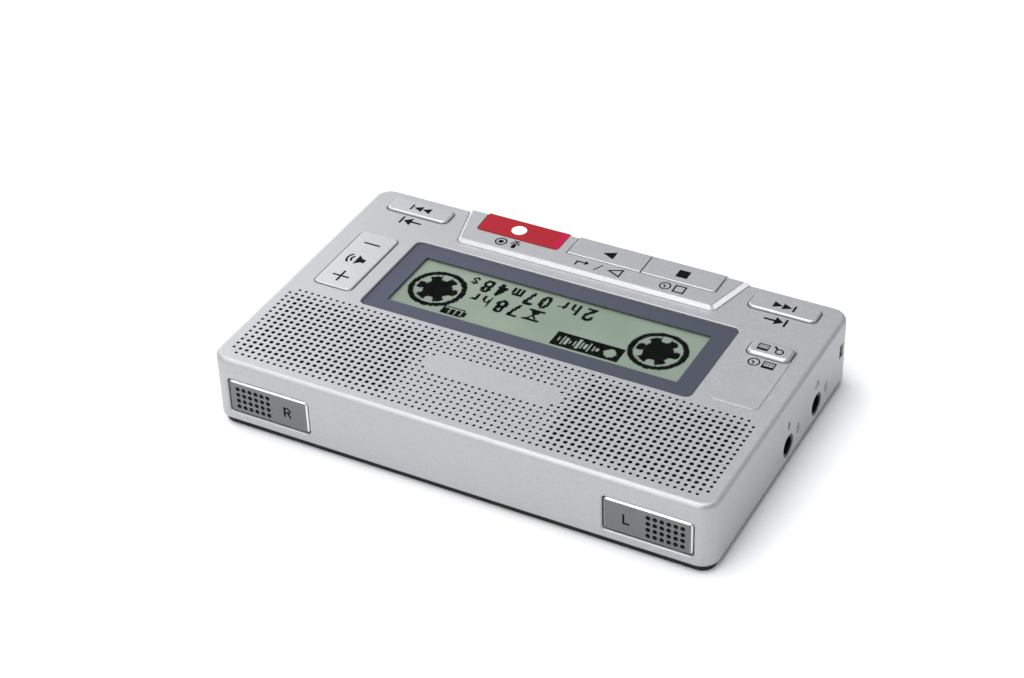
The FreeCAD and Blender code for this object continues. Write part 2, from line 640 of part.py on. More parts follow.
def jack(y):
    """A 3.5 mm socket: a block under the board and a nose in the case's hole."""
    inner_x = -HALF_L + WALL + JACK_AIR
    body_z = (JACK_Z - JACK_FOOT, BOARD_TOP_Z - BOARD_T)
    body = box((inner_x, inner_x + JACK_BODY_L), grown((y, y), JACK_HALF_W), body_z)
    nose = rod_x(JACK_NOSE_R, (-HALF_L + JACK_RECESS, inner_x + 1), y, JACK_Z)
    mouth_x = -HALF_L + JACK_RECESS
    return body.fuse(nose).cut(rod_x(JACK_BORE_R, (mouth_x - 1, mouth_x + JACK_DEPTH), y, JACK_Z))


# ---- microphones --------------------------------------------------------------------------
def mic_plate():
    xs, zs = grown(PLATE_X, -PLATE_GAP), grown(PLATE_Z, -PLATE_GAP)
    plate = rounded_box(xs, zs, (0, PLATE_T), 0.6)
    plate = plate.makeChamfer(PLATE_EDGE, level_edges(plate, 0))
    holes = []
    for column in range(MIC_COLUMNS):
        for row in range(MIC_ROWS):
            x = MIC_X + (column - (MIC_COLUMNS - 1) / 2) * MIC_HOLE_PITCH[0]
            z = MIC_Z + (row - (MIC_ROWS - 1) / 2) * MIC_HOLE_PITCH[1]
            holes.append(cylinder(MIC_HOLE_R, x, z, (-1, PLATE_T + 1)))
    plate = plate.cut(holes)
    plate.rotate(V(0, 0, 0), V(1, 0, 0), 90)
    plate.translate(V(0, HALF_W - PLATE_POCKET + FELT_T + PLATE_T, 0))
    return plate


def mic_felt():
    """The thin black felt behind a plate, all over the floor of its pocket."""
    felt = rounded_box(grown(PLATE_X, -0.1), grown(PLATE_Z, -0.1), (0, FELT_T), 0.7)
    felt.rotate(V(0, 0, 0), V(1, 0, 0), 90)
    felt.translate(V(0, HALF_W - PLATE_POCKET + FELT_T, 0))
    return felt


def mic_capsule():
    """The capsule stands in the wall's hole, right behind the felt."""
    return rod_y(CAPSULE_R, MIC_X, (BOOT_Y + BOOT_FLOOR, HALF_W - PLATE_POCKET - 0.1), MIC_Z)


def mic_boot():
    cup = rod_y(BOOT_R, MIC_X, (BOOT_Y, HALF_W - WALL), MIC_Z)
    return cup.cut(rod_y(CAPSULE_R, MIC_X, (BOOT_Y + BOOT_FLOOR, HALF_W), MIC_Z))


# ---- loudspeaker --------------------------------------------------------------------------
def speaker_basket():
    top = SPEAKER_TOP_Z
    profile = [
        (SPEAKER_R, top), (SPEAKER_R, top - 0.9), (SPEAKER_R - 0.8, top - 1.2), (8.0, top - 4.2),
        (6.0, top - 4.8), (3.6, top - 4.8), (3.6, top - 4.2), (7.4, top - 3.6), (9.9, top - 0.9),
        (10.3, top - 0.5), (10.3, top),
    ]
    return revolved(profile, SPEAKER_X, SPEAKER_Y)


def speaker_cone():
    """Surround, cone and dust cap in one thin paper dish."""
    top = SPEAKER_TOP_Z
    profile = [
        (0, top - 1.9), (1.6, top - 2.1), (3.2, top - 2.7), (8.2, top - 0.6),
        (9.2, top - 0.2), (10.3, top - 0.5), (9.9, top - 0.75), (9.2, top - 0.5),
        (8.2, top - 0.9), (3.3, top - 3.1), (1.6, top - 2.4), (0, top - 2.2),
    ]
    return revolved(profile, SPEAKER_X, SPEAKER_Y)


def speaker_magnet():
    low = SPEAKER_TOP_Z - 4.8
    pot = cylinder(6.6, SPEAKER_X, SPEAKER_Y, (low - 2.6, low))
    pole = cylinder(2.6, SPEAKER_X, SPEAKER_Y, (low, low + 1.4))
    return pot.makeChamfer(0.3, level_edges(pot, low - 2.6)).fuse(pole)


def speaker_gasket():
    ring = cylinder(SPEAKER_R, SPEAKER_X, SPEAKER_Y, (SPEAKER_TOP_Z, TOP_Z - GRILLE_T - CLOTH_T))
    return ring.cut(cylinder(SPEAKER_R - 1.2, SPEAKER_X, SPEAKER_Y, (0, TOP_Z)))


def dust_cloth():
    zs = (TOP_Z - GRILLE_T - CLOTH_T, TOP_Z - GRILLE_T)
    return box(grown(GRILLE_X, -0.1), grown(GRILLE_Y, -0.1), zs)


# ---- bottom -------------------------------------------------------------------------------
def door_profile(clear):
    """The door's plan, or with clear the room it slides in: a panel with a tongue on each side."""
    xs = grown(DOOR_X, clear)
    ys = (DOOR_FRONT_Y - clear, HALF_W + 40 if clear else HALF_W - COVER_INSET)
    panel = box(xs, ys, (-1 if clear else 0, COVER_FLOOR_T + 0.2 + clear))
    tongues = box(grown(xs, DOOR_TONGUE), ys, (0.7 - clear, COVER_FLOOR_T - 0.1 + clear))
    return panel.fuse(tongues).removeSplitter()


def rear_cover():
    outer_x, outer_y = grown((-HALF_L, HALF_L), -COVER_INSET), grown((-HALF_W, HALF_W), -COVER_INSET)
    plate = rounded_box(outer_x, outer_y, (0, SKIRT_Z), CORNER_R - COVER_INSET)
    plate = plate.makeChamfer(COVER_EDGE, level_edges(plate, 0))
    lip_x, lip_y = grown(outer_x, -LIP_INSET), grown(outer_y, -LIP_INSET)
    lip_r = CORNER_R - COVER_INSET - LIP_INSET
    tray = plate.fuse(rounded_box(lip_x, lip_y, (SKIRT_Z - 0.2, LIP_TOP_Z), lip_r))
    hollow_x, hollow_y = grown(lip_x, -LIP_T), grown(lip_y, -LIP_T)
    tray = tray.cut(rounded_box(hollow_x, hollow_y, (COVER_FLOOR_T, LIP_TOP_Z + 1), lip_r - LIP_T))
    within = rounded_box(lip_x, lip_y, (0, BAY_TOP_Z), lip_r)
    seats = [cylinder(SEAT_R, x, y, (COVER_FLOOR_T - 0.2, SEAT_TOP_Z)) for x, y in SCREW_SPOTS]
    seats = [seat.common(within) for seat in seats]
    rails_x, rails_y = grown(DOOR_X, DOOR_TONGUE + RAIL_W), (DOOR_FRONT_Y - 1.4, hollow_y[1])
    rails = box(rails_x, rails_y, (COVER_FLOOR_T - 0.2, COVER_FLOOR_T + RAIL_H))
    bay = box(BAY_X, BAY_Y, (COVER_FLOOR_T, BAY_TOP_Z))
    tray = tray.fuse(seats + [rails, bay])

    cuts = [door_profile(DOOR_GAP)]
    bay_room = (grown(BAY_X, -BAY_WALL), grown(BAY_Y, -BAY_WALL))
    cuts.append(box(*bay_room, (-1, BAY_TOP_Z + 1)))
    cuts.append(box(DOOR_X, (BAY_Y[1], HALF_W), (-1, BAY_TOP_Z + 1)))
    for y in JACK_YS.values():
        jack_z = (JACK_Z - JACK_FOOT - JACK_AIR, LIP_TOP_Z + 1)
        cuts.append(box((-HALF_L, 0), grown((y, y), JACK_HALF_W + JACK_AIR), jack_z))
    for x, y in SCREW_SPOTS:
        cuts.append(cylinder(BOSS_R + 0.1, x, y, (SEAT_TOP_Z, LIP_TOP_Z + 1)))
        cuts.append(cylinder(SCREW_HEAD_R + 0.15, x, y, (-1, SCREW_HEAD_Z[1])))
        cuts.append(cylinder(SCREW_R + 0.2, x, y, (0, SEAT_TOP_Z + 1)))
    return tray.cut(cuts).removeSplitter()


def battery_door():
    """The sliding door, with a chamfered outer edge and grip grooves."""
    end_y = HALF_W - COVER_INSET
    edge = [V(-HALF_L, end_y - COVER_EDGE - 1, -1), V(-HALF_L, end_y + 1, -1)]
    edge.append(V(-HALF_L, end_y + 1, COVER_EDGE + 1))
    cuts = [Part.Face(Part.makePolygon(edge + edge[:1])).extrude(V(LENGTH, 0, 0))]
    for i in range(GRIP_COUNT):
        y, x = GRIP_Y - i * GRIP_PITCH, middle(DOOR_X)
        cuts.append(box(grown((x, x), GRIP_HALF_L), (y, y + GRIP_W), (-1, GRIP_DEPTH)))
    return door_profile(0).cut(cuts)


def cell(y, turned):
    """An AAA cell along X with its tip on a contact: at +X, or at -X if turned round."""
    body = rod_x(CELL_R, (0, CELL_BODY_L), y, CELL_Z)
    rims = [e for e in body.Edges if len(e.Vertexes) == 1]
    body = body.makeChamfer(CELL_RIM, rims)
    whole = body.fuse(rod_x(CELL_TIP_R, (CELL_BODY_L, CELL_BODY_L + CELL_TIP_L), y, CELL_Z))
    if turned:
        whole.rotate(V(0, y, CELL_Z), V(0, 0, 1), 180)
        whole.translate(V(contact_x(-1) + CELL_BODY_L + CELL_TIP_L, 0, 0))
    else:
        whole.translate(V(contact_x(1) - CELL_BODY_L - CELL_TIP_L, 0, 0))
    return whole


def contact_x(way):
    """Where the contact sheets' faces stand at the -X or +X end of the bay."""
    wall = BAY_X[0] + BAY_WALL if way < 0 else BAY_X[1] - BAY_WALL
    return wall - way * CONTACT_T


def battery_springs():
    """A bent leaf between each cell's flat end and the contact sheet behind it."""
    bow = contact_x(1) - contact_x(-1) - CELL_BODY_L - CELL_TIP_L
    leaves = []
    for y, way in zip(CELL_YS, (-1, 1)):
        root, tip = contact_x(way), contact_x(way) - way * bow
        foot, flat = LEAF_HALF_L - 2 * LEAF_T, LEAF_FLAT - LEAF_T / 2
        outer = [(root, y - LEAF_HALF_L), (tip, y - LEAF_FLAT), (tip, y + LEAF_FLAT)]
        inner = [(root, y + LEAF_HALF_L), (root, y + foot), (tip + way * LEAF_T, y + flat)]
        inner += [(tip + way * LEAF_T, y - flat), (root, y - foot)]
        points = [V(x, py, CELL_Z - LEAF_HALF_W) for x, py in outer + inner]
        face = Part.Face(Part.makePolygon(points + points[:1]))
        leaves.append(face.extrude(V(0, 0, 2 * LEAF_HALF_W)))
    return leaves


def battery_plates():
    plates = []
    for y in CELL_YS:
        for way in (-1, 1):
            xs = sorted((contact_x(way), contact_x(way) + way * CONTACT_T))
            zs = grown((CELL_Z, CELL_Z), CONTACT_HALF_H)
            plates.append(box(xs, grown((y, y), CONTACT_HALF_W), zs))
    return plates


def case_screw(x, y):
    head = cylinder(SCREW_HEAD_R, x, y, SCREW_HEAD_Z)
    head = head.makeFillet(0.25, level_edges(head, SCREW_HEAD_Z[0]))
    cross_z = (0, SCREW_HEAD_Z[0] + CROSS_DEPTH)
    cross = [
        box(grown((x, x), CROSS_HALF_L), grown((y, y), CROSS_HALF_W), cross_z),
        box(grown((x, x), CROSS_HALF_W), grown((y, y), CROSS_HALF_L), cross_z),
    ]
    shank = cylinder(SCREW_R, x, y, (SCREW_HEAD_Z[1], SCREW_TOP_Z))
    return head.fuse(shank).cut(cross)


# ---- hold switch --------------------------------------------------------------------------
def hold_knob():
    knob_x = (HALF_L - HOLD_DEPTH + 0.05, HALF_L - 0.02)
    knob = box(knob_x, HOLD_KNOB_Y, grown(HOLD_Z, -HOLD_AIR))
    grooves = []
    for offset in (-1.1, 0, 1.1):
        y = middle(HOLD_KNOB_Y) + offset
        grooves.append(box((HALF_L - 0.35, HALF_L + 1), grown((y, y), 0.25), HOLD_Z))
    stem = box((HALF_L - WALL - 0.3, knob_x[0]), HOLD_STEM_Y, grown(HOLD_Z, -1.55))
    return knob.cut(grooves).fuse(stem)


def hold_switch():
    xs = (HALF_L - WALL - 4.4, HALF_L - WALL - 0.5)
    return box(xs, HOLD_Y, (BOARD_TOP_Z - BOARD_T - 3.2, BOARD_TOP_Z - BOARD_T))


def main():
    os.makedirs("parts", exist_ok=True)
    save("front_case", front_case())
    save("speaker_grille", speaker_grille())
    save("key_bezel", key_bezel())
    save("key_plate", key_plate())
    save("stop_key", big_key(STOP_X, (BIG_KEY_CORNER_R, SHARP_R)))
    save("play_key", big_key(PLAY_X, (SHARP_R, SHARP_R)))
    record_key, record_light = record_parts()
    save("record_key", record_key)
    save("record_light", record_light)
    for name, (xs, ys, top_z, edge_r) in SMALL_KEYS.items():
        save(name, small_key(xs, ys, top_z, edge_r))
    save("volume_rocker", volume_rocker())
    save("display_window", display_window())
    screen_x = (-SCREEN_HALF_X, SCREEN_HALF_X)
    save("screen_panel", box(screen_x, SCREEN_Y, (SCREEN_TOP_Z - SCREEN_T, SCREEN_TOP_Z)))
    save("screen_frame", screen_frame())
    save("contact_strips", *contact_strips())
    save("main_board", main_board())
    save("tact_switches", *[tact_switch(x, y) for x, y in SWITCH_SPOTS])
    save("board_chips", *board_chips())
    for name, y in JACK_YS.items():
        save(name, jack(y))
    for side, placed in (("right", lambda s: s), ("left", mirrored)):
        save(f"mic_plate_{side}", placed(mic_plate()))
        save(f"mic_felt_{side}", placed(mic_felt()))
        save(f"mic_capsule_{side}", placed(mic_capsule()))
        save(f"mic_boot_{side}", placed(mic_boot()))
    save("speaker_basket", speaker_basket())
    save("speaker_cone", speaker_cone())
    save("speaker_magnet", speaker_magnet())
    save("speaker_gasket", speaker_gasket())
    save("dust_cloth", dust_cloth())
    save("rear_cover", rear_cover())
    save("battery_door", battery_door())
    save("cell_near", cell(CELL_YS[0], False))
    save("cell_far", cell(CELL_YS[1], True))
    save("battery_springs", *battery_springs())
    save("battery_plates", *battery_plates())
    save("case_screws", *[case_screw(x, y) for x, y in SCREW_SPOTS])
    save("strap_bar", cylinder(STRAP_BAR_R, STRAP_BAR_X, middle(STRAP_Y), grown(STRAP_Z, 0.6)))
    save("hold_knob", hold_knob())
    save("hold_switch", hold_switch())


main()
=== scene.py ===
import json
import math

import bmesh
import bpy
import numpy as np
from mathutils import Matrix, Vector


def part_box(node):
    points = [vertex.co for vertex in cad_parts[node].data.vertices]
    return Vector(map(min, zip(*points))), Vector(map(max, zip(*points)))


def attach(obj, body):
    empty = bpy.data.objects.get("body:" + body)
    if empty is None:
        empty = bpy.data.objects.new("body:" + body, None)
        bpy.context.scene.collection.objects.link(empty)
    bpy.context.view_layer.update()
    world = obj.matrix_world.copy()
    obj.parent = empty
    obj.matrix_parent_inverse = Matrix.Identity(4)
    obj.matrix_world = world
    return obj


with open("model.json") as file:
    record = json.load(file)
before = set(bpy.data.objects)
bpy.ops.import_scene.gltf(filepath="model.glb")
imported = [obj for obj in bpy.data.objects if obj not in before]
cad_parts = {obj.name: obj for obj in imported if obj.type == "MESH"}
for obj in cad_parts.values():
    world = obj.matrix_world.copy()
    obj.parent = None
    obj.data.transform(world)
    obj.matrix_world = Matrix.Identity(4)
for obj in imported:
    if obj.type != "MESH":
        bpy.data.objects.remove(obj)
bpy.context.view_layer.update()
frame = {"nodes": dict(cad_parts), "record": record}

# The looks of a pocket digital dictation recorder: materials for the CAD nodes, printed marks,
# the display's dots, the floor, the lights and the camera. Lengths in this file are millimetres
# in the frame's own axes, and become metres where a mesh, a light or a shader is made.

MM = 0.001
NODES = frame["nodes"]

X, Y, Z = Vector((1, 0, 0)), Vector((0, 1, 0)), Vector((0, 0, 1))


def span(node):
    """A node's lowest and highest corner, in millimetres."""
    low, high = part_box(node)
    return [c / MM for c in low], [c / MM for c in high]


def top_of(node):
    return span(node)[1][2]


def middle_of(node):
    low, high = span(node)
    return [(a + b) / 2 for a, b in zip(low, high)]


TOP_Z = top_of("speaker_grille")          # the flat top of the case
HALF_LENGTH = span("front_case")[1][0]    # to the right wall; the left wall has a raised dot


# ---- shader helpers -----------------------------------------------------------------------
def add(tree, kind, inputs=None, **attributes):
    """A new node with its attributes set, and its inputs, by name or number, set or linked."""
    made = tree.nodes.new(kind)
    for name, value in attributes.items():
        setattr(made, name, value)
    for name, value in (inputs or {}).items():
        if isinstance(value, bpy.types.NodeSocket):
            tree.links.new(value, made.inputs[name])
        else:
            made.inputs[name].default_value = value
    return made


def rgba(colour):
    return (*colour[:3], 1.0)


def shade(colour, factor):
    return tuple(min(c * factor, 1.0) for c in colour[:3])


def blank_material(name):
    material = bpy.data.materials.new(name)
    material.use_nodes = True
    tree = material.node_tree
    return material, tree, tree.nodes["Principled BSDF"]


def place(tree, stretch=(1, 1, 1)):
    """The point on the object, in metres, stretched for streaks."""
    point = add(tree, "ShaderNodeTexCoord").outputs["Object"]
    return add(tree, "ShaderNodeMapping", {"Vector": point, "Scale": stretch}).outputs["Vector"]


def noise(tree, size, detail=3.0, stretch=(1, 1, 1), roughness=0.55):
    """Soft noise whose blotches are about size millimetres across."""
    inputs = {"Vector": place(tree, stretch), "Scale": 1 / (size * MM), "Detail": detail}
    inputs["Roughness"] = roughness
    return add(tree, "ShaderNodeTexNoise", inputs).outputs["Fac"]


def cells(tree, size):
    """Random grey cells about size millimetres across, as of metal flakes in paint."""
    flakes = add(tree, "ShaderNodeTexVoronoi", {"Vector": place(tree), "Scale": 1 / (size * MM)})
    return add(tree, "ShaderNodeSeparateColor", {"Color": flakes.outputs["Color"]}).outputs["Red"]


def remap(tree, value, low, high, start=0.3, end=0.7):
    """value from start..end becomes low..high."""
    inputs = {"Value": value, "From Min": start, "From Max": end, "To Min": low, "To Max": high}
    return add(tree, "ShaderNodeMapRange", inputs).outputs["Result"]


MIX_SHARE, MIX_FIRST, MIX_SECOND, MIX_RESULT = 0, 6, 7, 2       # colour sockets of the Mix node


def blend(tree, share, first, second):
    """The first colour, with a share of the second laid over it."""
    inputs = {MIX_SHARE: share, MIX_FIRST: first, MIX_SECOND: second}
    mixer = add(tree, "ShaderNodeMix", inputs, data_type="RGBA", clamp_factor=True)
    return mixer.outputs[MIX_RESULT]


def math_node(tree, operation, a, b=0.0):
    return add(tree, "ShaderNodeMath", {0: a, 1: b}, operation=operation).outputs[0]


def axis_value(tree, axis):
    """The X, Y or Z of the point on the object, in millimetres."""
    parts = add(tree, "ShaderNodeSeparateXYZ", {"Vector": place(tree)})
    return math_node(tree, "MULTIPLY", parts.outputs[axis], 1 / MM)


def past_edge(tree, value, low, high):
    """How far value lies beyond low..high; it is negative between them."""
    away = math_node(tree, "ABSOLUTE", math_node(tree, "SUBTRACT", value, (low + high) / 2))
    return math_node(tree, "SUBTRACT", away, (high - low) / 2)


def relief(tree, shader, height, depth, soften=0.0):
    """Bump of that depth in millimetres, over edges softened by a radius in millimetres."""
    bump = add(tree, "ShaderNodeBump", {"Strength": 1.0, "Distance": depth * MM, "Height": height})
    if soften:
        edge = add(tree, "ShaderNodeBevel", {"Radius": soften * MM}, samples=4)
        tree.links.new(edge.outputs["Normal"], bump.inputs["Normal"])
    tree.links.new(bump.outputs["Normal"], shader.inputs["Normal"])


def set_sockets(shader, **values):
    """Plain values on the shader's own sockets, named with underscores for spaces."""
    for name, value in values.items():
        shader.inputs[name.replace("_", " ")].default_value = value


# ---- materials ----------------------------------------------------------------------------
CASE_COLOUR = (0.425, 0.428, 0.44)
CASE_ROUGHNESS = 0.46
PEEL_DEPTH = 0.0035              # depth of the silver paint's orange peel
EDGE_HIGHLIGHT = (-0.3, -0.27)         # painted highlight: the microphone plates' bright edge colour begins here, from their outline
HOLE_SHADE_DEPTH = 0.1                 # how far the silver reaches down the walls of the sound holes before painted shade makes them dark
FACE_ON_GLOSS = 0.0006           # share of the window's gloss, seen face on and at a grazing angle
GRAZING_GLOSS = 0.8
COPPER_BAND = 13.05              # length of the copper band at a cell's tip
THREAD_SCALE = 900.0             # the wave texture's scale for threads 0.35 mm apart


def finish(name, colour, roughness, vary=0.07, grain=0.3, depth=0.003, cloud=14.0, stretch=(1, 1, 1),
           soften=0.0, rough_spread=0.06, **sockets):
    """A moulded, cast or painted surface: fine grain, slow blotches, uneven gloss and light relief."""
    material, tree, shader = blank_material(name)
    fine = noise(tree, grain, detail=4.0, stretch=stretch)
    slow = noise(tree, cloud, detail=2.0)
    dark, light = rgba(shade(colour, 1 - vary)), rgba(shade(colour, 1 + vary))
    tint = blend(tree, remap(tree, fine, 0, 1), dark, light)
    tint = blend(tree, remap(tree, slow, 0, 0.5), tint, rgba(shade(colour, 1 - 1.5 * vary)))
    tree.links.new(tint, shader.inputs["Base Color"])
    gloss = math_node(tree, "ADD", remap(tree, fine, roughness - rough_spread, roughness + rough_spread),
                      remap(tree, slow, -rough_spread / 2, rough_spread / 2))
    tree.links.new(gloss, shader.inputs["Roughness"])
    relief(tree, shader, fine, depth, soften)
    set_sockets(shader, **sockets)
    return material


def silver_paint(name, colour, roughness, metallic=0.6):
    """Satin silver paint: metal flakes that glint a little, orange peel, and faint rubbing marks."""
    material, tree, shader = blank_material(name)
    flakes = cells(tree, 0.15)
    peel = noise(tree, 0.5)
    slow = noise(tree, 30.0, detail=2.0)
    rubbed = noise(tree, 0.8, detail=5.0, stretch=(0.12, 1.0, 1.0), roughness=0.7)
    tint = blend(tree, flakes, rgba(shade(colour, 0.88)), rgba(shade(colour, 1.11)))
    tint = blend(tree, remap(tree, slow, 0, 0.4), tint, rgba(shade(colour, 0.95)))
    tree.links.new(tint, shader.inputs["Base Color"])
    gloss = math_node(tree, "ADD", remap(tree, flakes, roughness - 0.05, roughness + 0.07, 0, 1),
                      remap(tree, rubbed, -0.03, 0.04, 0.4, 0.75))
    tree.links.new(gloss, shader.inputs["Roughness"])
    relief(tree, shader, math_node(tree, "ADD", math_node(tree, "MULTIPLY", flakes, 0.35), peel), PEEL_DEPTH)
    set_sockets(shader, Metallic=metallic)
    return material


def recolour(material, share, colour):
    """Lay a colour over the material's base colour, by a share from 0 to 1."""
    tree = material.node_tree
    base = tree.nodes["Principled BSDF"].inputs["Base Color"]
    tree.links.new(blend(tree, share, base.links[0].from_socket, rgba(colour)), base)


def plate_paint():
    """The dark microphone plates: satin paint on the face, and a painted highlight, a bright colour round its
    edge.
    """
    material = silver_paint("mic_plate_grey", (0.155, 0.157, 0.16), 0.36, metallic=0.75)
    tree = material.node_tree
    low, high = span("mic_plate_right")
    across = math_node(tree, "ABSOLUTE", axis_value(tree, "X"))     # the left plate mirrors this one
    past_end = past_edge(tree, across, low[0], high[0])
    past_side = past_edge(tree, axis_value(tree, "Z"), low[2], high[2])
    outside = math_node(tree, "MAXIMUM", past_side, past_end)
    # painted highlight: near-white colour on the band along the plate's outline stands in for the chamfer's
    # highlight
    recolour(material, remap(tree, outside, 0, 1, *EDGE_HIGHLIGHT), (0.80, 0.80, 0.81))
    return material


def grille_paint():
    """The case's silver paint, with painted shade: the walls of the sound holes are dark below their tops."""
    material = silver_paint("grille_silver", CASE_COLOUR, CASE_ROUGHNESS)
    tree = material.node_tree
    # painted shade inside the sound holes: near-black over the silver below the top
    hole_shade = remap(tree, axis_value(tree, "Z"), 1, 0, TOP_Z - HOLE_SHADE_DEPTH, TOP_Z - HOLE_SHADE_DEPTH / 2)
    recolour(material, hole_shade, (0.02, 0.02, 0.021))
    return material


def display_glass():
    """The reflective display: grey green, with the faint grid of its unlit dots."""
    material, tree, shader = blank_material("lcd_grey_green")
    across = math_node(tree, "PINGPONG", axis_value(tree, "X"), DOT / 2)
    along = math_node(tree, "PINGPONG", axis_value(tree, "Y"), DOT / 2)
    grid = remap(tree, math_node(tree, "MINIMUM", across, along), 0.35, 0.0, 0.0, 0.04)
    slow = remap(tree, noise(tree, 22.0, detail=2.0), 0, 1, 0.38, 0.62)
    grain = noise(tree, 0.12, detail=2.0)
    tint = blend(tree, slow, rgba((0.195, 0.250, 0.188)), rgba((0.250, 0.292, 0.229)))
    tint = blend(tree, remap(tree, grain, 0, 0.25), tint, rgba((0.20, 0.25, 0.20)))
    tint = blend(tree, grid, tint, rgba((0.36, 0.41, 0.33)))
    tree.links.new(tint, shader.inputs["Base Color"])
    tree.links.new(remap(tree, grain, 0.38, 0.5), shader.inputs["Roughness"])
    relief(tree, shader, grain, 0.0008)
    set_sockets(shader, Specular_IOR_Level=0.2)
    return material


def clear_lens():
    """The hard coated window: see-through, with a thin gloss that is stronger at grazing angles."""
    material, tree, shader = blank_material("clear_lens")
    output = tree.nodes["Material Output"]
    smear = noise(tree, 9.0, detail=4.0, stretch=(0.4, 1.0, 1.0))
    fine = noise(tree, 0.6, detail=2.0)
    gloss = add(tree, "ShaderNodeBsdfGlossy", {"Color": rgba((1, 1, 1))})
    tree.links.new(remap(tree, smear, 0.03, 0.09), gloss.inputs["Roughness"])
    bump = add(tree, "ShaderNodeBump", {"Distance": 0.0002 * MM, "Height": fine})
    tree.links.new(bump.outputs["Normal"], gloss.inputs["Normal"])
    clear = add(tree, "ShaderNodeBsdfTransparent", {"Color": rgba((0.97, 0.975, 0.98))})
    slant = add(tree, "ShaderNodeLayerWeight", {"Blend": 0.5}).outputs["Facing"]
    share = remap(tree, math_node(tree, "POWER", slant, 8.0), FACE_ON_GLOSS, GRAZING_GLOSS, 0, 1)
    mix = add(tree, "ShaderNodeMixShader", {0: share, 1: clear.outputs[0], 2: gloss.outputs[0]})
    tree.links.new(mix.outputs[0], output.inputs["Surface"])
    tree.nodes.remove(shader)
    return material


def glowing_plastic():
    """The clear magenta end of the record key, lit from inside."""
    material, tree, shader = blank_material("magenta_light")
    slow = noise(tree, 1.1)
    fine = noise(tree, 0.15, detail=2.0)
    tint = blend(tree, remap(tree, slow, 0, 1), rgba((0.36, 0.0, 0.03)), rgba((0.50, 0.002, 0.065)))
    tree.links.new(tint, shader.inputs["Base Color"])
    tree.links.new(tint, shader.inputs["Emission Color"])
    tree.links.new(remap(tree, fine, 0.16, 0.26), shader.inputs["Roughness"])
    relief(tree, shader, fine, 0.001, soften=0.08)
    set_sockets(shader, Emission_Strength=0.06, Coat_Weight=0.15, Coat_Roughness=0.08, Specular_IOR_Level=0.3)
    return material


def cell_jacket(node, way):
    """A dry cell's printed sleeve: a dark body, a copper band at its tip and bare metal at both ends."""
    material, tree, shader = blank_material(f"{node}_sleeve")
    along = axis_value(tree, "X")
    low, high = span(node)[0][0], span(node)[1][0]
    tip = high if way > 0 else low
    band_end = tip - COPPER_BAND * way
    band = remap(tree, along, 0, 1, band_end - 0.15 * way, band_end + 0.15 * way)
    bare = remap(tree, past_edge(tree, along, low, high), 0, 1, -1.9, -1.7)
    fine = noise(tree, 0.4)
    tint = blend(tree, band, rgba((0.03, 0.035, 0.045)), rgba((0.45, 0.22, 0.08)))
    tint = blend(tree, bare, tint, rgba((0.55, 0.55, 0.54)))
    tint = blend(tree, remap(tree, fine, 0, 0.15), tint, rgba((0.1, 0.1, 0.1)))
    tree.links.new(tint, shader.inputs["Base Color"])
    tree.links.new(remap(tree, fine, 0.22, 0.36), shader.inputs["Roughness"])
    tree.links.new(math_node(tree, "MAXIMUM", band, bare), shader.inputs["Metallic"])
    relief(tree, shader, fine, 0.004)
    return material


def woven_cloth():
    """Black dust gauze: crossing threads."""
    material, tree, shader = blank_material("dust_gauze")
    waves = []
    for axis in ("X", "Y"):
        inputs = {"Vector": place(tree), "Scale": THREAD_SCALE, "Distortion": 0.4, "Detail": 1.0}
        waves.append(add(tree, "ShaderNodeTexWave", inputs, bands_direction=axis).outputs["Fac"])
    threads = math_node(tree, "MAXIMUM", waves[0], waves[1])
    tint = blend(tree, threads, rgba((0.001, 0.001, 0.001)), rgba((0.005, 0.005, 0.0052)))
    tree.links.new(tint, shader.inputs["Base Color"])
    tree.links.new(remap(tree, threads, 0.95, 0.75, 0, 1), shader.inputs["Roughness"])
    relief(tree, shader, threads, 0.05)
    return material


def ink(name, colour):
    """Screen-printed ink: nearly even, a little broken up, slightly raised."""
    return finish(name, colour, 0.6, vary=0.12, grain=0.12, depth=0.002, cloud=3.0, Specular_IOR_Level=0.05)


def painted_looks():
    """Silver and grey paint, and the bright bezel."""
    return {
        silver_paint("case_silver", CASE_COLOUR, CASE_ROUGHNESS): ("front_case", "key_plate"),
        grille_paint(): ("speaker_grille",),
        silver_paint("key_silver", (0.468, 0.471, 0.483), 0.36):
            ("stop_key", "play_key", "skip_back_key", "skip_forward_key", "search_key", "volume_rocker"),
        finish("bezel_bright", (0.87, 0.875, 0.885), 0.3, vary=0.015, grain=0.5, depth=0.0006,
               rough_spread=0.03, Metallic=0.6): ("key_bezel",),
        plate_paint(): ("mic_plate_left", "mic_plate_right"),
    }


def clear_looks():
    """The display, the window over it, and the record light."""
    return {
        glowing_plastic(): ("record_light",),
        clear_lens(): ("display_window",),
        display_glass(): ("screen_panel",),
    }


def plastic_looks():
    """Parts moulded in one colour."""
    return {
        finish("cover_black", (0.010, 0.0105, 0.011), 0.6, vary=0.2, grain=0.35, depth=0.012, soften=0.1,
               Specular_IOR_Level=0.25): ("rear_cover", "battery_door"),
        finish("record_red", (0.315, 0.008, 0.016), 0.45, vary=0.05, grain=0.35, soften=0.1,
               Specular_IOR_Level=0.15): ("record_key",),
        finish("knob_black", (0.02, 0.02, 0.021), 0.42, vary=0.15, grain=0.25, depth=0.005, soften=0.1):
            ("hold_knob",),
        finish("socket_black", (0.008, 0.008, 0.009), 0.3, vary=0.2, depth=0.002, soften=0.12):
            ("earphone_jack", "microphone_jack"),
        finish("frame_white", (0.62, 0.62, 0.60), 0.5, vary=0.04, grain=0.6, depth=0.004):
            ("screen_frame",),
    }


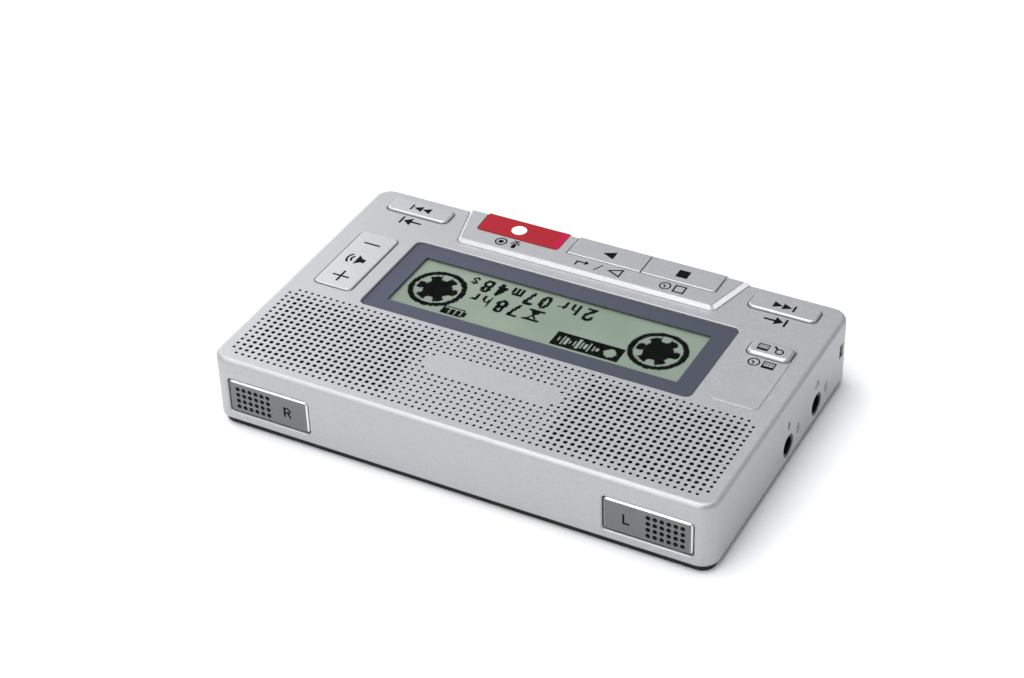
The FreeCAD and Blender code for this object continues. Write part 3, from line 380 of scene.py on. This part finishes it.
def metal_looks():
    """Plated springs, plates, switches and screws."""
    return {
        finish("plated_steel", (0.55, 0.55, 0.53), 0.3, vary=0.06, grain=0.2, depth=0.002,
               stretch=(0.1, 1, 1), Metallic=1.0):
            ("tact_switches", "battery_springs", "battery_plates", "strap_bar", "mic_capsule_left",
             "mic_capsule_right", "speaker_basket", "speaker_magnet"),
        finish("black_zinc", (0.12, 0.12, 0.125), 0.36, vary=0.1, grain=0.2, soften=0.08, Metallic=0.9):
            ("case_screws",),
    }


def inner_looks():
    """The board, its parts, and the two cells, which lie head to tail."""
    return {
        finish("board_green", (0.012, 0.10, 0.045), 0.35, vary=0.15, grain=0.8, depth=0.004):
            ("main_board",),
        finish("chip_black", (0.015, 0.015, 0.016), 0.55, vary=0.15, grain=0.2):
            ("board_chips", "hold_switch"),
        cell_jacket("cell_near", 1): ("cell_near",),
        cell_jacket("cell_far", -1): ("cell_far",),
    }


def soft_looks():
    """Rubber, felt, paper and cloth."""
    return {
        finish("contact_rubber", (0.18, 0.18, 0.19), 0.7, vary=0.1, grain=0.2, depth=0.004,
               stretch=(8, 1, 1)): ("contact_strips",),
        finish("black_rubber", (0.012, 0.012, 0.012), 0.75, vary=0.2, grain=0.25, depth=0.006):
            ("mic_boot_left", "mic_boot_right", "speaker_gasket"),
        finish("black_felt", (0.006, 0.006, 0.006), 0.95, vary=0.3, grain=0.12, depth=0.03,
               Specular_IOR_Level=0.1): ("mic_felt_left", "mic_felt_right"),
        finish("cone_paper", (0.02, 0.02, 0.02), 0.85, vary=0.3, depth=0.02): ("speaker_cone",),
        woven_cloth(): ("dust_cloth",),
    }


def paint_nodes():
    """Give every CAD node its material."""
    for kind in (painted_looks, clear_looks, plastic_looks, metal_looks, inner_looks, soft_looks):
        for material, names in kind().items():
            for name in names:
                NODES[name].data.materials.clear()
                NODES[name].data.materials.append(material)


# ---- flat marks ---------------------------------------------------------------------------
def arc(x, y, rx, ry, start, end, steps):
    """Points along an ellipse, angles in degrees."""
    angles = [math.radians(start + (end - start) * i / steps) for i in range(steps + 1)]
    return [(x + rx * math.cos(a), y + ry * math.sin(a)) for a in angles]


def disc(x, y, r, steps=40):
    return [arc(x, y, r, r, 0, 360, steps)[:-1]]


def bar(x0, y0, x1, y1):
    return [[(x0, y0), (x1, y0), (x1, y1), (x0, y1)]]


MITRE_LIMIT = 0.4                # a sharp bend's mitre reaches at most half a width over this


def stroke(points, width, closed=False):
    """Quads along a line of even width, mitred at its bends."""
    count = len(points)
    left, right = [], []
    for i, (x, y) in enumerate(points):
        before = points[i - 1] if i or closed else None
        after = points[(i + 1) % count] if i + 1 < count or closed else None
        normals = []
        for (ax, ay), (bx, by) in ((before or (x, y), (x, y)), ((x, y), after or (x, y))):
            length = math.hypot(bx - ax, by - ay)
            if length:
                normals.append(((ay - by) / length, (bx - ax) / length))
        nx, ny = sum(n[0] for n in normals), sum(n[1] for n in normals)
        size = math.hypot(nx, ny)
        reach = width / 2 / max(size / len(normals), MITRE_LIMIT)
        left.append((x + nx / size * reach, y + ny / size * reach))
        right.append((x - nx / size * reach, y - ny / size * reach))
    pairs = range(count if closed else count - 1)
    return [[right[i], right[(i + 1) % count], left[(i + 1) % count], left[i]] for i in pairs]


def ring(x, y, r, width):
    return stroke(arc(x, y, r, r, 0, 360, 36)[:-1], width, closed=True)


def moved(faces, dx, dy, size=1.0):
    return [[(x * size + dx, y * size + dy) for x, y in face] for face in faces]


def flat_piece(name, faces, origin, across, up, material, body, thickness=0.012):
    """Thin solid marks on a plane: faces are outlines in millimetres along across and up."""
    mesh = bmesh.new()
    out = across.cross(up)
    for face in faces:
        corners = [mesh.verts.new((Vector(origin) + across * x + up * y) * MM) for x, y in face]
        mesh.faces.new(corners)
    bmesh.ops.remove_doubles(mesh, verts=mesh.verts, dist=1e-7)
    grown = bmesh.ops.extrude_face_region(mesh, geom=mesh.faces[:])
    lifted = [g for g in grown["geom"] if isinstance(g, bmesh.types.BMVert)]
    bmesh.ops.translate(mesh, verts=lifted, vec=out * thickness * MM)
    bmesh.ops.recalc_face_normals(mesh, faces=mesh.faces)
    data = bpy.data.meshes.new(name)
    mesh.to_mesh(data)
    mesh.free()
    piece = bpy.data.objects.new(name, data)
    bpy.context.scene.collection.objects.link(piece)
    data.materials.append(material)
    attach(piece, body)


# ---- pictograms, about two millimetres high until moved() sizes them ------------------------
def picto_microphone():
    """A capsule with a round head and foot, in a stand."""
    faces = [arc(0, 0.62, 0.33, 0.33, 0, 180, 10) + arc(0, 0.05, 0.33, 0.33, 180, 360, 10)]
    faces += stroke(arc(0, 0.08, 0.66, 0.66, 190, 350, 14), 0.24)
    faces += stroke([(0, -0.56), (0, -0.9)], 0.2)
    return faces + stroke([(-0.5, -0.98), (0.5, -0.98)], 0.2)


def picto_enter():
    """A return arrow."""
    faces = stroke([(0.9, 0.8), (0.9, -0.25), (-0.5, -0.25)], 0.3)
    return faces + [[(-0.4, 0.3), (-1.1, -0.25), (-0.4, -0.8)]]


def picto_magnifier():
    return ring(-0.2, 0.2, 0.62, 0.26) + stroke([(0.27, -0.27), (0.95, -0.95)], 0.36)


def picto_calendar():
    faces = stroke([(-0.95, -0.85), (0.95, -0.85), (0.95, 0.8), (-0.95, 0.8)], 0.22, closed=True)
    faces += bar(-0.86, 0.3, 0.86, 0.72)
    for x in (-0.5, 0, 0.5):
        for y in (-0.1, -0.5):
            faces += bar(x - 0.13, y - 0.1, x + 0.13, y + 0.1)
    return faces


def picto_clock():
    return ring(0, 0, 0.88, 0.24) + stroke([(0, 0.55), (0, 0.0), (0.4, -0.25)], 0.24)


def picto_speaker():
    faces = [[(-0.95, -0.3), (-0.55, -0.3), (0.0, -0.8), (0.0, 0.8), (-0.55, 0.3), (-0.95, 0.3)]]
    faces += stroke(arc(0.1, 0, 0.45, 0.5, -55, 55, 8), 0.22)
    return faces + stroke(arc(0.1, 0, 0.9, 0.95, -50, 50, 8), 0.22)


def picto_earphones():
    faces = stroke(arc(0, -0.1, 0.75, 0.85, 0, 180, 14), 0.24)
    return faces + bar(-1.05, -0.85, -0.5, -0.05) + bar(0.5, -0.85, 1.05, -0.05)


def triangle(width, height, way=1):
    """It points right for way 1 and left for way -1, as do the marks built on it."""
    return [[(-width / 2 * way, -height / 2), (width / 2 * way, 0), (-width / 2 * way, height / 2)][::way]]


def skip_icon(way):
    """Two triangles and a bar."""
    faces = moved(triangle(1.9, 1.9, way), -1.35 * way, 0) + moved(triangle(1.9, 1.9, way), 0.55 * way, 0)
    near, far = 1.7 * way, 2.12 * way
    return faces + bar(min(near, far), -0.95, max(near, far), 0.95)


def picto_to_end(way):
    """An arrow that runs up to a bar."""
    faces = moved(stroke([(-0.9 * way, 0), (1.0 * way, 0)], 0.42), -1.4 * way, 0, 1.2)
    faces += moved(triangle(1.5, 2.2, way), 0.6 * way, 0, 1.15)
    return faces + moved(stroke([(0, -1.1), (0, 1.1)], 0.42), 1.9 * way, 0, 1.1)


def picto_record():
    """A microphone and a record button."""
    button = ring(0, 0, 0.85, 0.24) + disc(0, 0, 0.42)
    return moved(picto_microphone(), -1.4, 0, 1.3) + moved(button, 1.6, 0, 1.3)


def picto_play_enter():
    """A play outline, a slash and a return arrow."""
    outline = stroke([(-1.0, -1.0), (1.2, 0), (-1.0, 1.0)], 0.3, closed=True)
    slash = stroke([(-0.5, -1.1), (0.5, 1.1)], 0.28)
    return moved(outline, -3.6, 0, 1.15) + moved(slash, 0.1, 0) + moved(picto_enter(), 3.6, 0, 1.25)


def picto_stop_clock():
    """A stop outline and a clock."""
    outline = stroke([(-0.9, -0.9), (0.9, -0.9), (0.9, 0.9), (-0.9, 0.9)], 0.3, closed=True)
    return moved(outline, -1.3, 0, 1.15) + moved(picto_clock(), 1.7, 0, 1.2)


def picto_padlock():
    shackle = [(-0.48, 0.35)] + arc(0, 0.55, 0.48, 0.55, 180, 0, 10) + [(0.48, 0.35)]
    return bar(-0.75, -0.7, 0.75, 0.35) + stroke(shackle, 0.17)


def letter_r():
    bowl = [(-0.62, 0.93)] + arc(0.1, 0.45, 0.48, 0.48, 90, -90, 10) + [(-0.62, -0.03)]
    faces = stroke([(-0.62, -1.1), (-0.62, 1.1)], 0.4) + stroke(bowl, 0.34)
    return faces + stroke([(0.05, -0.05), (0.68, -1.1)], 0.4)


def letter_l():
    return stroke([(-0.5, 1.1), (-0.5, -0.93), (0.65, -0.93)], 0.4)


# ---- printed marks ------------------------------------------------------------------------
LARGE_KEY_SHIFT = 0.1            # the large keys' marks sit this far from the middle of the keys
VOLUME_ENDS = 6.0                # plus and minus, from the middle of the rocker
PLATE_MARK_GAP = 0.95            # from the edge of a key to the middle of the marks behind it
SKIP_MARK_GAP = 1.25
DATE_MARK_GAP = 1.15
DATE_MARK_SHIFT = 0.2
LETTER_INSET = 4.45              # from a microphone plate's inner end to its letter
LETTER_DROP = 0.1
JACK_MARK_RISE = 3.8             # from the middle of a jack up to its pictogram
JACK_WAVE_REACH = 3.0            # and along the wall to its sound waves
HOLD_MARK_GAP = 5.2              # from the hold knob to the padlock
DOOR_ARROW_X = 11.0              # from the middle of the battery door
DOOR_ARROW_Y = 6.6


def key_icon(name, faces, node, material, shift=0.0):
    """A mark on top of a key, which moves with it; shift is towards the display."""
    body = next(b for b, members in frame["record"]["behaviour"]["bodies"].items() if node in members)
    x, y, _ = middle_of(node)
    flat_piece(name, faces, (x, y + shift, top_of(node)), X, Y, material, body)


def key_marks(black, white):
    """The marks on top of the keys and the volume rocker."""
    key_icon("record_dot", disc(0, 0, 1.55, 48), "record_key", white, LARGE_KEY_SHIFT)
    key_icon("play_icon", triangle(2.6, 2.5), "play_key", black, LARGE_KEY_SHIFT)
    key_icon("stop_icon", bar(-1.2, -1.2, 1.2, 1.2), "stop_key", black, LARGE_KEY_SHIFT)
    key_icon("skip_back_icon", skip_icon(-1), "skip_back_key", black)
    key_icon("skip_forward_icon", skip_icon(1), "skip_forward_key", black)
    search = moved(picto_magnifier(), -1.5, 0, 1.15) + moved(picto_calendar(), 1.5, 0, 1.05)
    key_icon("search_icon", search, "search_key", black)
    minus = bar(-1.8, -0.22, 1.8, 0.22)
    plus = minus + bar(-0.22, 0.22, 0.22, 1.8) + bar(-0.22, -1.8, 0.22, -0.22)
    volume = moved(plus, 0, VOLUME_ENDS) + moved(minus, 0, -VOLUME_ENDS)
    volume += moved(picto_speaker(), 0.1, -0.1, 2.0)
    key_icon("volume_marks", volume, "volume_rocker", black)


def top_marks(black):
    """The marks behind the keys, on the key plate and on the case's top."""
    plate = []
    for node, faces in (("record_key", picto_record()), ("play_key", picto_play_enter()),
                        ("stop_key", picto_stop_clock())):
        plate += moved(faces, middle_of(node)[0], span(node)[1][1] + PLATE_MARK_GAP)
    flat_piece("plate_marks", plate, (0, 0, top_of("key_plate")), X, Y, black, "case")

    skips = []
    for way, node in ((-1, "skip_back_key"), (1, "skip_forward_key")):
        skips += moved(picto_to_end(way), middle_of(node)[0], span(node)[1][1] + SKIP_MARK_GAP)
    flat_piece("case_marks", skips, (0, 0, TOP_Z), X, Y, black, "case")

    date = moved(picto_calendar(), -1.45, 0, 1.15) + moved(picto_clock(), 1.45, 0, 1.2)
    x = middle_of("search_key")[0] + DATE_MARK_SHIFT
    y = span("search_key")[1][1] + DATE_MARK_GAP
    flat_piece("date_marks", date, (x, y, top_of("front_case")), X, Y, black, "case")


def microphone_letters(black):
    low, high = span("mic_plate_right")
    x, z = low[0] + LETTER_INSET, (low[2] + high[2]) / 2 - LETTER_DROP
    for name, faces, side in (("mark_right", letter_r(), 1), ("mark_left", letter_l(), -1)):
        flat_piece(name, faces, (x * side, high[1], z), -X, Z, black, "case")


def jack_marks(grey):
    """A pictogram over each jack, and sound waves beside it."""
    for node, faces in (("earphone_jack", picto_earphones()), ("microphone_jack", picto_microphone())):
        _, y, z = middle_of(node)
        at = (-HALF_LENGTH, y, z + JACK_MARK_RISE)
        flat_piece(f"{node}_mark", moved(faces, 0, 0, 0.85), at, -Y, Z, grey, "case")
    waves = stroke(arc(0, 0, 1.3, 1.3, -40, 40, 8), 0.26) + stroke(arc(0, 0, 2.0, 2.0, -36, 36, 8), 0.26)
    for node in ("earphone_jack", "microphone_jack"):
        _, y, z = middle_of(node)
        flat_piece(f"{node}_waves", waves, (-HALF_LENGTH, y - JACK_WAVE_REACH, z), -Y, Z, grey, "case")


def hold_mark(grey):
    """A padlock beside the hold knob, on the right wall."""
    at = (HALF_LENGTH, span("hold_knob")[1][1] + HOLD_MARK_GAP, middle_of("hold_knob")[2])
    flat_piece("hold_mark", picto_padlock(), at, Y, Z, grey, "case")


def door_arrow(pale):
    """The way the battery door slides, on its underside."""
    x, y, _ = middle_of("battery_door")
    at = (x + DOOR_ARROW_X, y + DOOR_ARROW_Y, span("battery_door")[0][2])
    arrow = stroke([(0, -2.2), (0, 1.2)], 0.5) + [[(-1.3, 0.9), (1.3, 0.9), (0, 2.6)]]
    flat_piece("door_arrow", arrow, at, -X, Y, pale, "battery_door", thickness=0.006)


def print_marks():
    black = ink("ink_black", (0.0028, 0.0028, 0.0032))
    white = ink("ink_white", (0.86, 0.86, 0.85))
    grey = ink("ink_grey", (0.07, 0.073, 0.08))
    pale = ink("ink_pale", (0.42, 0.42, 0.42))
    key_marks(black, white)
    top_marks(black)
    microphone_letters(black)
    jack_marks(grey)
    hold_mark(grey)
    door_arrow(pale)


# ---- display ------------------------------------------------------------------------------
DOT = 0.305                      # pitch of the display's dots
DOT_FILL = 0.95                  # side of a dot over the pitch
DOT_GAP = 0.01                   # keeps the dots' plane apart from the panel's
OPENING_X = (-30.4, 30.6)        # what the printed mask leaves open
OPENING_Y = (-14.0, 1.6)
REEL_X = 23.5                    # the reels lie to either side of the display's middle
REEL_Y = -6.2
REEL_RING = (4.7, 5.8)           # inner and outer radius
REEL_BOSS = 2.95
REEL_TEETH = 4.2                 # radius of the teeth's tips
REEL_SHIFT = 0.44                # they sit a little to the right of the window's middle
GLYPH_LEFT, GLYPH_WIDTH = 0.11, 0.78        # a character's place in its share of a box
DIGIT_LINE = 0.78                # width of the lines in digits, and in the units beside them
UNIT_LINE = 0.5
TIME_ROW = (-13.2, -8.95)        # bottom and top of the lower row's digits
BORDER_INSET = 0.06              # the printed border stays this far inside the window's outline
BORDER_CORNER = 1.35
OPENING_CORNER = 0.25
BORDER_DEPTH = 0.42              # below the window's face


def glyph_lines(character):
    """The centre lines of a character in a unit cell."""
    shapes = {
        "0": [arc(0.5, 0.5, 0.46, 0.5, 0, 360, 28)],
        "2": [arc(0.5, 0.7, 0.45, 0.3, 170, -35, 14) + [(0.04, 0.0), (1.0, 0.0)]],
        "4": [[(0.74, 0.0), (0.74, 1.0), (0.0, 0.28), (1.0, 0.28)]],
        "7": [[(0.02, 1.0), (0.98, 1.0), (0.38, 0.0)]],
        "8": [arc(0.5, 0.77, 0.38, 0.23, 0, 360, 24), arc(0.5, 0.27, 0.47, 0.27, 0, 360, 24)],
        "h": [[(0.1, 0.0), (0.1, 1.0)], arc(0.5, 0.3, 0.4, 0.32, 180, 0, 12) + [(0.9, 0.0)]],
        "m": [[(0.0, 0.0), (0.0, 0.62)], arc(0.25, 0.36, 0.25, 0.26, 180, 0, 8) + [(0.5, 0.0)],
              arc(0.75, 0.36, 0.25, 0.26, 180, 0, 8) + [(1.0, 0.0)]],
        "r": [[(0.15, 0.0), (0.15, 0.64)], [(0.15, 0.38), (0.42, 0.6), (0.85, 0.62)]],
        "s": [[(0.9, 0.5), (0.5, 0.62), (0.12, 0.47), (0.5, 0.31), (0.9, 0.15), (0.5, 0.0), (0.1, 0.1)]],
    }
    return shapes[character]


class Picture:
    """The display's dots as an array, drawn on in millimetres."""

    def __init__(self):
        columns = int((OPENING_X[1] - OPENING_X[0]) / DOT) + 2
        rows = int((OPENING_Y[1] - OPENING_Y[0]) / DOT) + 2
        xs = OPENING_X[0] - DOT / 2 + DOT * np.arange(columns)
        ys = OPENING_Y[0] - DOT / 2 + DOT * np.arange(rows)
        self.x, self.y = np.meshgrid(xs, ys)
        self.lit = np.zeros(self.x.shape, bool)

    def near_line(self, points, reach):
        """The dots within reach of a line through points."""
        close = np.zeros(self.x.shape, bool)
        for (ax, ay), (bx, by) in zip(points, points[1:]):
            dx, dy = bx - ax, by - ay
            along = ((self.x - ax) * dx + (self.y - ay) * dy) / max(dx * dx + dy * dy, 1e-9)
            along = np.clip(along, 0, 1)
            close |= np.hypot(self.x - ax - along * dx, self.y - ay - along * dy) < reach
        return close

    def inside(self, xs, ys):
        return (self.x > xs[0]) & (self.x < xs[1]) & (self.y > ys[0]) & (self.y < ys[1])

    def write(self, text, xs, ys, width):
        """Characters spread over a box, drawn with lines of that width."""
        step = (xs[1] - xs[0]) / len(text)
        for i, character in enumerate(text):
            for line in glyph_lines(character):
                left, low = xs[0] + step * (i + GLYPH_LEFT) + width / 2, ys[0] + width / 2
                across, high = step * GLYPH_WIDTH - width, ys[1] - ys[0] - width
                points = [(left + x * across, low + y * high) for x, y in line]
                self.lit |= self.near_line(points, width / 2)

    def reel(self, x, y):
        """A cassette's hub as seen through its window: a ring, and a boss with six flared teeth."""
        away = np.hypot(self.x - x, self.y - y)
        turn = np.arctan2(self.y - y, self.x - x)
        pitch = math.pi / 3
        off_middle = np.abs(((turn / pitch + 0.5) % 1) - 0.5) * pitch * away
        half_tooth = 0.8 + 0.25 * (away - 2.6)          # the teeth flare towards their tips
        self.lit |= (away > REEL_RING[0]) & (away < REEL_RING[1])
        self.lit |= away < REEL_BOSS
        self.lit |= (away < REEL_TEETH) & (off_middle < half_tooth)

    def recording_box(self, xs, ys):
        """A black box with a record dot and a sound wave left clear."""
        dot_at, dot_r = xs[0] + 2.3, 1.25
        wave_at, wave_step, half_bar = xs[0] + 4.9, 0.8, 0.22
        heights = (0.9, 1.7, 2.8, 1.3, 2.3, 3.0, 1.5, 0.8, 1.9, 2.6, 1.2)
        middle = (ys[0] + ys[1]) / 2
        self.lit |= self.inside(xs, ys)
        clear = np.hypot(self.x - dot_at, self.y - middle) < dot_r
        for i, height in enumerate(heights):
            x = wave_at + i * wave_step
            clear |= self.inside((x - half_bar, x + half_bar), (middle - height / 2, middle + height / 2))
        self.lit &= ~clear

    def battery(self, xs, ys):
        """A battery outline with three full bars, its tip at the left."""
        wall, tip, margin = 0.33, 0.6, 0.55
        gap_left, gap_right = 0.22, 0.1                 # clear space beside each bar
        left = xs[0] + tip
        self.lit |= self.inside((left, xs[1]), ys)
        self.lit &= ~self.inside((left + wall, xs[1] - wall), (ys[0] + wall, ys[1] - wall))
        self.lit |= self.inside((xs[0], xs[0] + 0.7), (ys[0] + margin, ys[1] - margin))
        step = (xs[1] - left - 2 * wall) / 3
        for i in range(3):
            x = left + wall + step * i
            self.lit |= self.inside((x + gap_left, x + step - gap_right), (ys[0] + margin, ys[1] - margin))

    def hourglass(self, xs, ys):
        """Two caps, two crossing sides, and sand in the lower half."""
        x, reach = (xs[0] + xs[1]) / 2, (xs[1] - xs[0]) / 2
        top, low = ys[1] - 0.2, ys[0] + 0.2
        for y in (top, low):
            self.lit |= self.near_line([(x - reach, y), (x + reach, y)], 0.25)
        self.lit |= self.near_line([(x - reach * 0.7, top), (x + reach * 0.7, low)], 0.22)
        self.lit |= self.near_line([(x + reach * 0.7, top), (x - reach * 0.7, low)], 0.22)
        below = (self.y < (top + low) / 2) & (np.abs(self.x - x) < ((top + low) / 2 - self.y) * 0.45)
        self.lit |= below & self.inside(xs, ys)


def draw_display():
    """The dots that are dark: two reels, the state, the time left and the time so far."""
    picture = Picture()
    for side in (-1, 1):
        picture.reel(side * REEL_X + REEL_SHIFT, REEL_Y)
    picture.recording_box((-17.6, -3.5), (-3.8, 0.45))
    picture.battery((14.7, 19.9), (-2.0, 0.45))
    picture.hourglass((1.6, 4.6), (-8.1, -4.6))
    picture.write("78", (5.4, 11.7), (-8.4, -4.1), DIGIT_LINE)
    picture.write("hr", (12.1, 17.5), (-8.3, -4.9), UNIT_LINE)
    for text, xs in (("2", (-8.0, -4.9)), ("07", (1.4, 7.6)), ("48", (10.9, 17.0))):
        picture.write(text, xs, TIME_ROW, DIGIT_LINE)
    picture.write("hr", (-4.6, 0.8), (-13.1, -9.7), UNIT_LINE)
    for text, xs in (("m", (7.7, 10.7)), ("s", (17.3, 19.6))):
        picture.write(text, xs, (-13.1, -9.3), UNIT_LINE)

    half = DOT * DOT_FILL / 2
    faces = []
    for x, y in zip(picture.x[picture.lit], picture.y[picture.lit]):
        faces += bar(x - half, y - half, x + half, y + half)
    dark = finish("display_dots", (0.0015, 0.002, 0.0017), 0.9, vary=0.2, grain=0.5, depth=0.0005, cloud=8.0,
                  Specular_IOR_Level=0.05)
    at = (0, 0, top_of("screen_panel") + DOT_GAP)
    flat_piece("display_dots", faces, at, X, Y, dark, "case", thickness=0.01)


def rounded_rectangle(xs, ys, r):
    """Points round it, with an arc at each corner, anticlockwise from the right-hand side."""
    left, right, low, high = xs[0] + r, xs[1] - r, ys[0] + r, ys[1] - r
    corners = ((right, high), (left, high), (left, low), (right, low))
    return [p for i, (x, y) in enumerate(corners) for p in arc(x, y, r, r, 90 * i, 90 * i + 90, 8)]


def window_print():
    """The slate border printed on the back of the window, with the display's opening in it, and painted shade
    darkening it towards its left end.
    """
    low, high = span("display_window")
    xs = (low[0] + BORDER_INSET, high[0] - BORDER_INSET)
    ys = (low[1] + BORDER_INSET, high[1] - BORDER_INSET)
    outer = rounded_rectangle(xs, ys, BORDER_CORNER)
    inner = rounded_rectangle(OPENING_X, OPENING_Y, OPENING_CORNER)
    count = len(outer)
    faces = [[outer[i], outer[(i + 1) % count], inner[(i + 1) % count], inner[i]] for i in range(count)]
    slate = finish("slate_print", (0.083, 0.088, 0.120), 0.7, vary=0.05, grain=0.25, depth=0.0002, cloud=24.0,
                   Specular_IOR_Level=0.05)
    # painted shade: the slate darkens towards the left end, as the light falls off across the window
    left_painted_shade = remap(slate.node_tree, axis_value(slate.node_tree, "X"), 0.5, 0, low[0], high[0])
    recolour(slate, left_painted_shade, (0.045, 0.055, 0.062))
    flat_piece("window_print", faces, (0, 0, high[2] - BORDER_DEPTH), X, Y, slate, "case", thickness=0.02)


# ---- floor, lights and camera -------------------------------------------------------------
FLOOR_REACH = 4000.0             # half the floor's width
FLOOR_GAP = 0.02                 # keeps the floor's plane apart from the case's underside
LIGHT_AIM = (0, 0, 8)
SKY_LOW, SKY_HIGH = (0.36, 0.37, 0.39), (0.93, 0.95, 1.0)
SKY_STRENGTH = 0.6
CAMERA_AIM = (2.5, 3.45, 15.4)
CAMERA_DISTANCE = 433.6
CAMERA_AZIMUTH = 208.96          # degrees
CAMERA_ELEVATION = 36.15
CAMERA_ROLL = -1.99
CAMERA_LENS = 81.65              # focal length, for a sensor 36 mm wide


def floor():
    """A wide pale sheet under the recorder."""
    mesh = bmesh.new()
    bmesh.ops.create_grid(mesh, x_segments=1, y_segments=1, size=FLOOR_REACH * MM)
    data = bpy.data.meshes.new("floor")
    mesh.to_mesh(data)
    mesh.free()
    sheet = bpy.data.objects.new("floor", data)
    bpy.context.scene.collection.objects.link(sheet)
    sheet.location = (0, 0, -FLOOR_GAP * MM)
    data.materials.append(finish("floor_white", (0.93, 0.93, 0.935), 0.7, vary=0.01, grain=6.0, depth=0.01,
                                 cloud=400.0))


def soft_light(name, place_mm, size_mm, watts):
    """A rectangle of white light, turned towards the recorder."""
    data = bpy.data.lights.new(name, "AREA")
    data.shape = "RECTANGLE"
    data.size, data.size_y = size_mm[0] * MM, size_mm[1] * MM
    data.energy = watts
    lamp = bpy.data.objects.new(name, data)
    bpy.context.scene.collection.objects.link(lamp)
    lamp.location = Vector(place_mm) * MM
    away = Vector(place_mm) - Vector(LIGHT_AIM)
    lamp.rotation_euler = away.to_track_quat("Z", "Y").to_euler()


def light_studio():
    """A pale sky that is brighter to the right, and four soft lights."""
    world = bpy.data.worlds.new("studio")
    world.use_nodes = True
    tree = world.node_tree
    backdrop = tree.nodes["Background"]
    direction = add(tree, "ShaderNodeTexCoord").outputs["Generated"]
    parts = add(tree, "ShaderNodeSeparateXYZ", {"Vector": direction})
    tilted = math_node(tree, "ADD", parts.outputs["Z"], math_node(tree, "MULTIPLY", parts.outputs["X"], 0.5))
    sky = blend(tree, remap(tree, tilted, 0, 1, -0.2, 0.9), rgba(SKY_LOW), rgba(SKY_HIGH))
    tree.links.new(sky, backdrop.inputs["Color"])
    backdrop.inputs["Strength"].default_value = SKY_STRENGTH
    bpy.context.scene.world = world
    soft_light("overhead_soft", (190, 60, 880), (800, 900), watts=7.2)
    soft_light("front_soft", (150, 780, 540), (600, 500), watts=3.6)
    soft_light("far_soft", (330, -200, 178), (290, 240), watts=0.44)
    soft_light("side_strip", (-700, -300, 330), (350, 220), watts=0.34)


def set_camera():
    """Off the left end of the microphone wall, looking down across the recorder to the keys."""
    turn, rise = math.radians(CAMERA_AZIMUTH), math.radians(CAMERA_ELEVATION)
    back = Vector((math.sin(turn) * math.cos(rise), -math.cos(turn) * math.cos(rise), math.sin(rise)))
    data = bpy.data.cameras.new("camera")
    data.lens = CAMERA_LENS
    data.sensor_width = 36.0
    data.clip_start = 0.01
    camera = bpy.data.objects.new("camera", data)
    bpy.context.scene.collection.objects.link(camera)
    facing = back.to_track_quat("Z", "Y").to_matrix() @ Matrix.Rotation(math.radians(CAMERA_ROLL), 3, "Z")
    eye = (Vector(CAMERA_AIM) + back * CAMERA_DISTANCE) * MM
    camera.matrix_world = Matrix.Translation(eye) @ facing.to_4x4()
    bpy.context.scene.camera = camera


def set_view():
    settings = bpy.context.scene.view_settings
    settings.view_transform = "Standard"
    settings.look = "None"
    settings.exposure = 0.0
    settings.gamma = 1.0


paint_nodes()
print_marks()
window_print()
draw_display()
floor()
light_studio()
set_camera()
set_view()
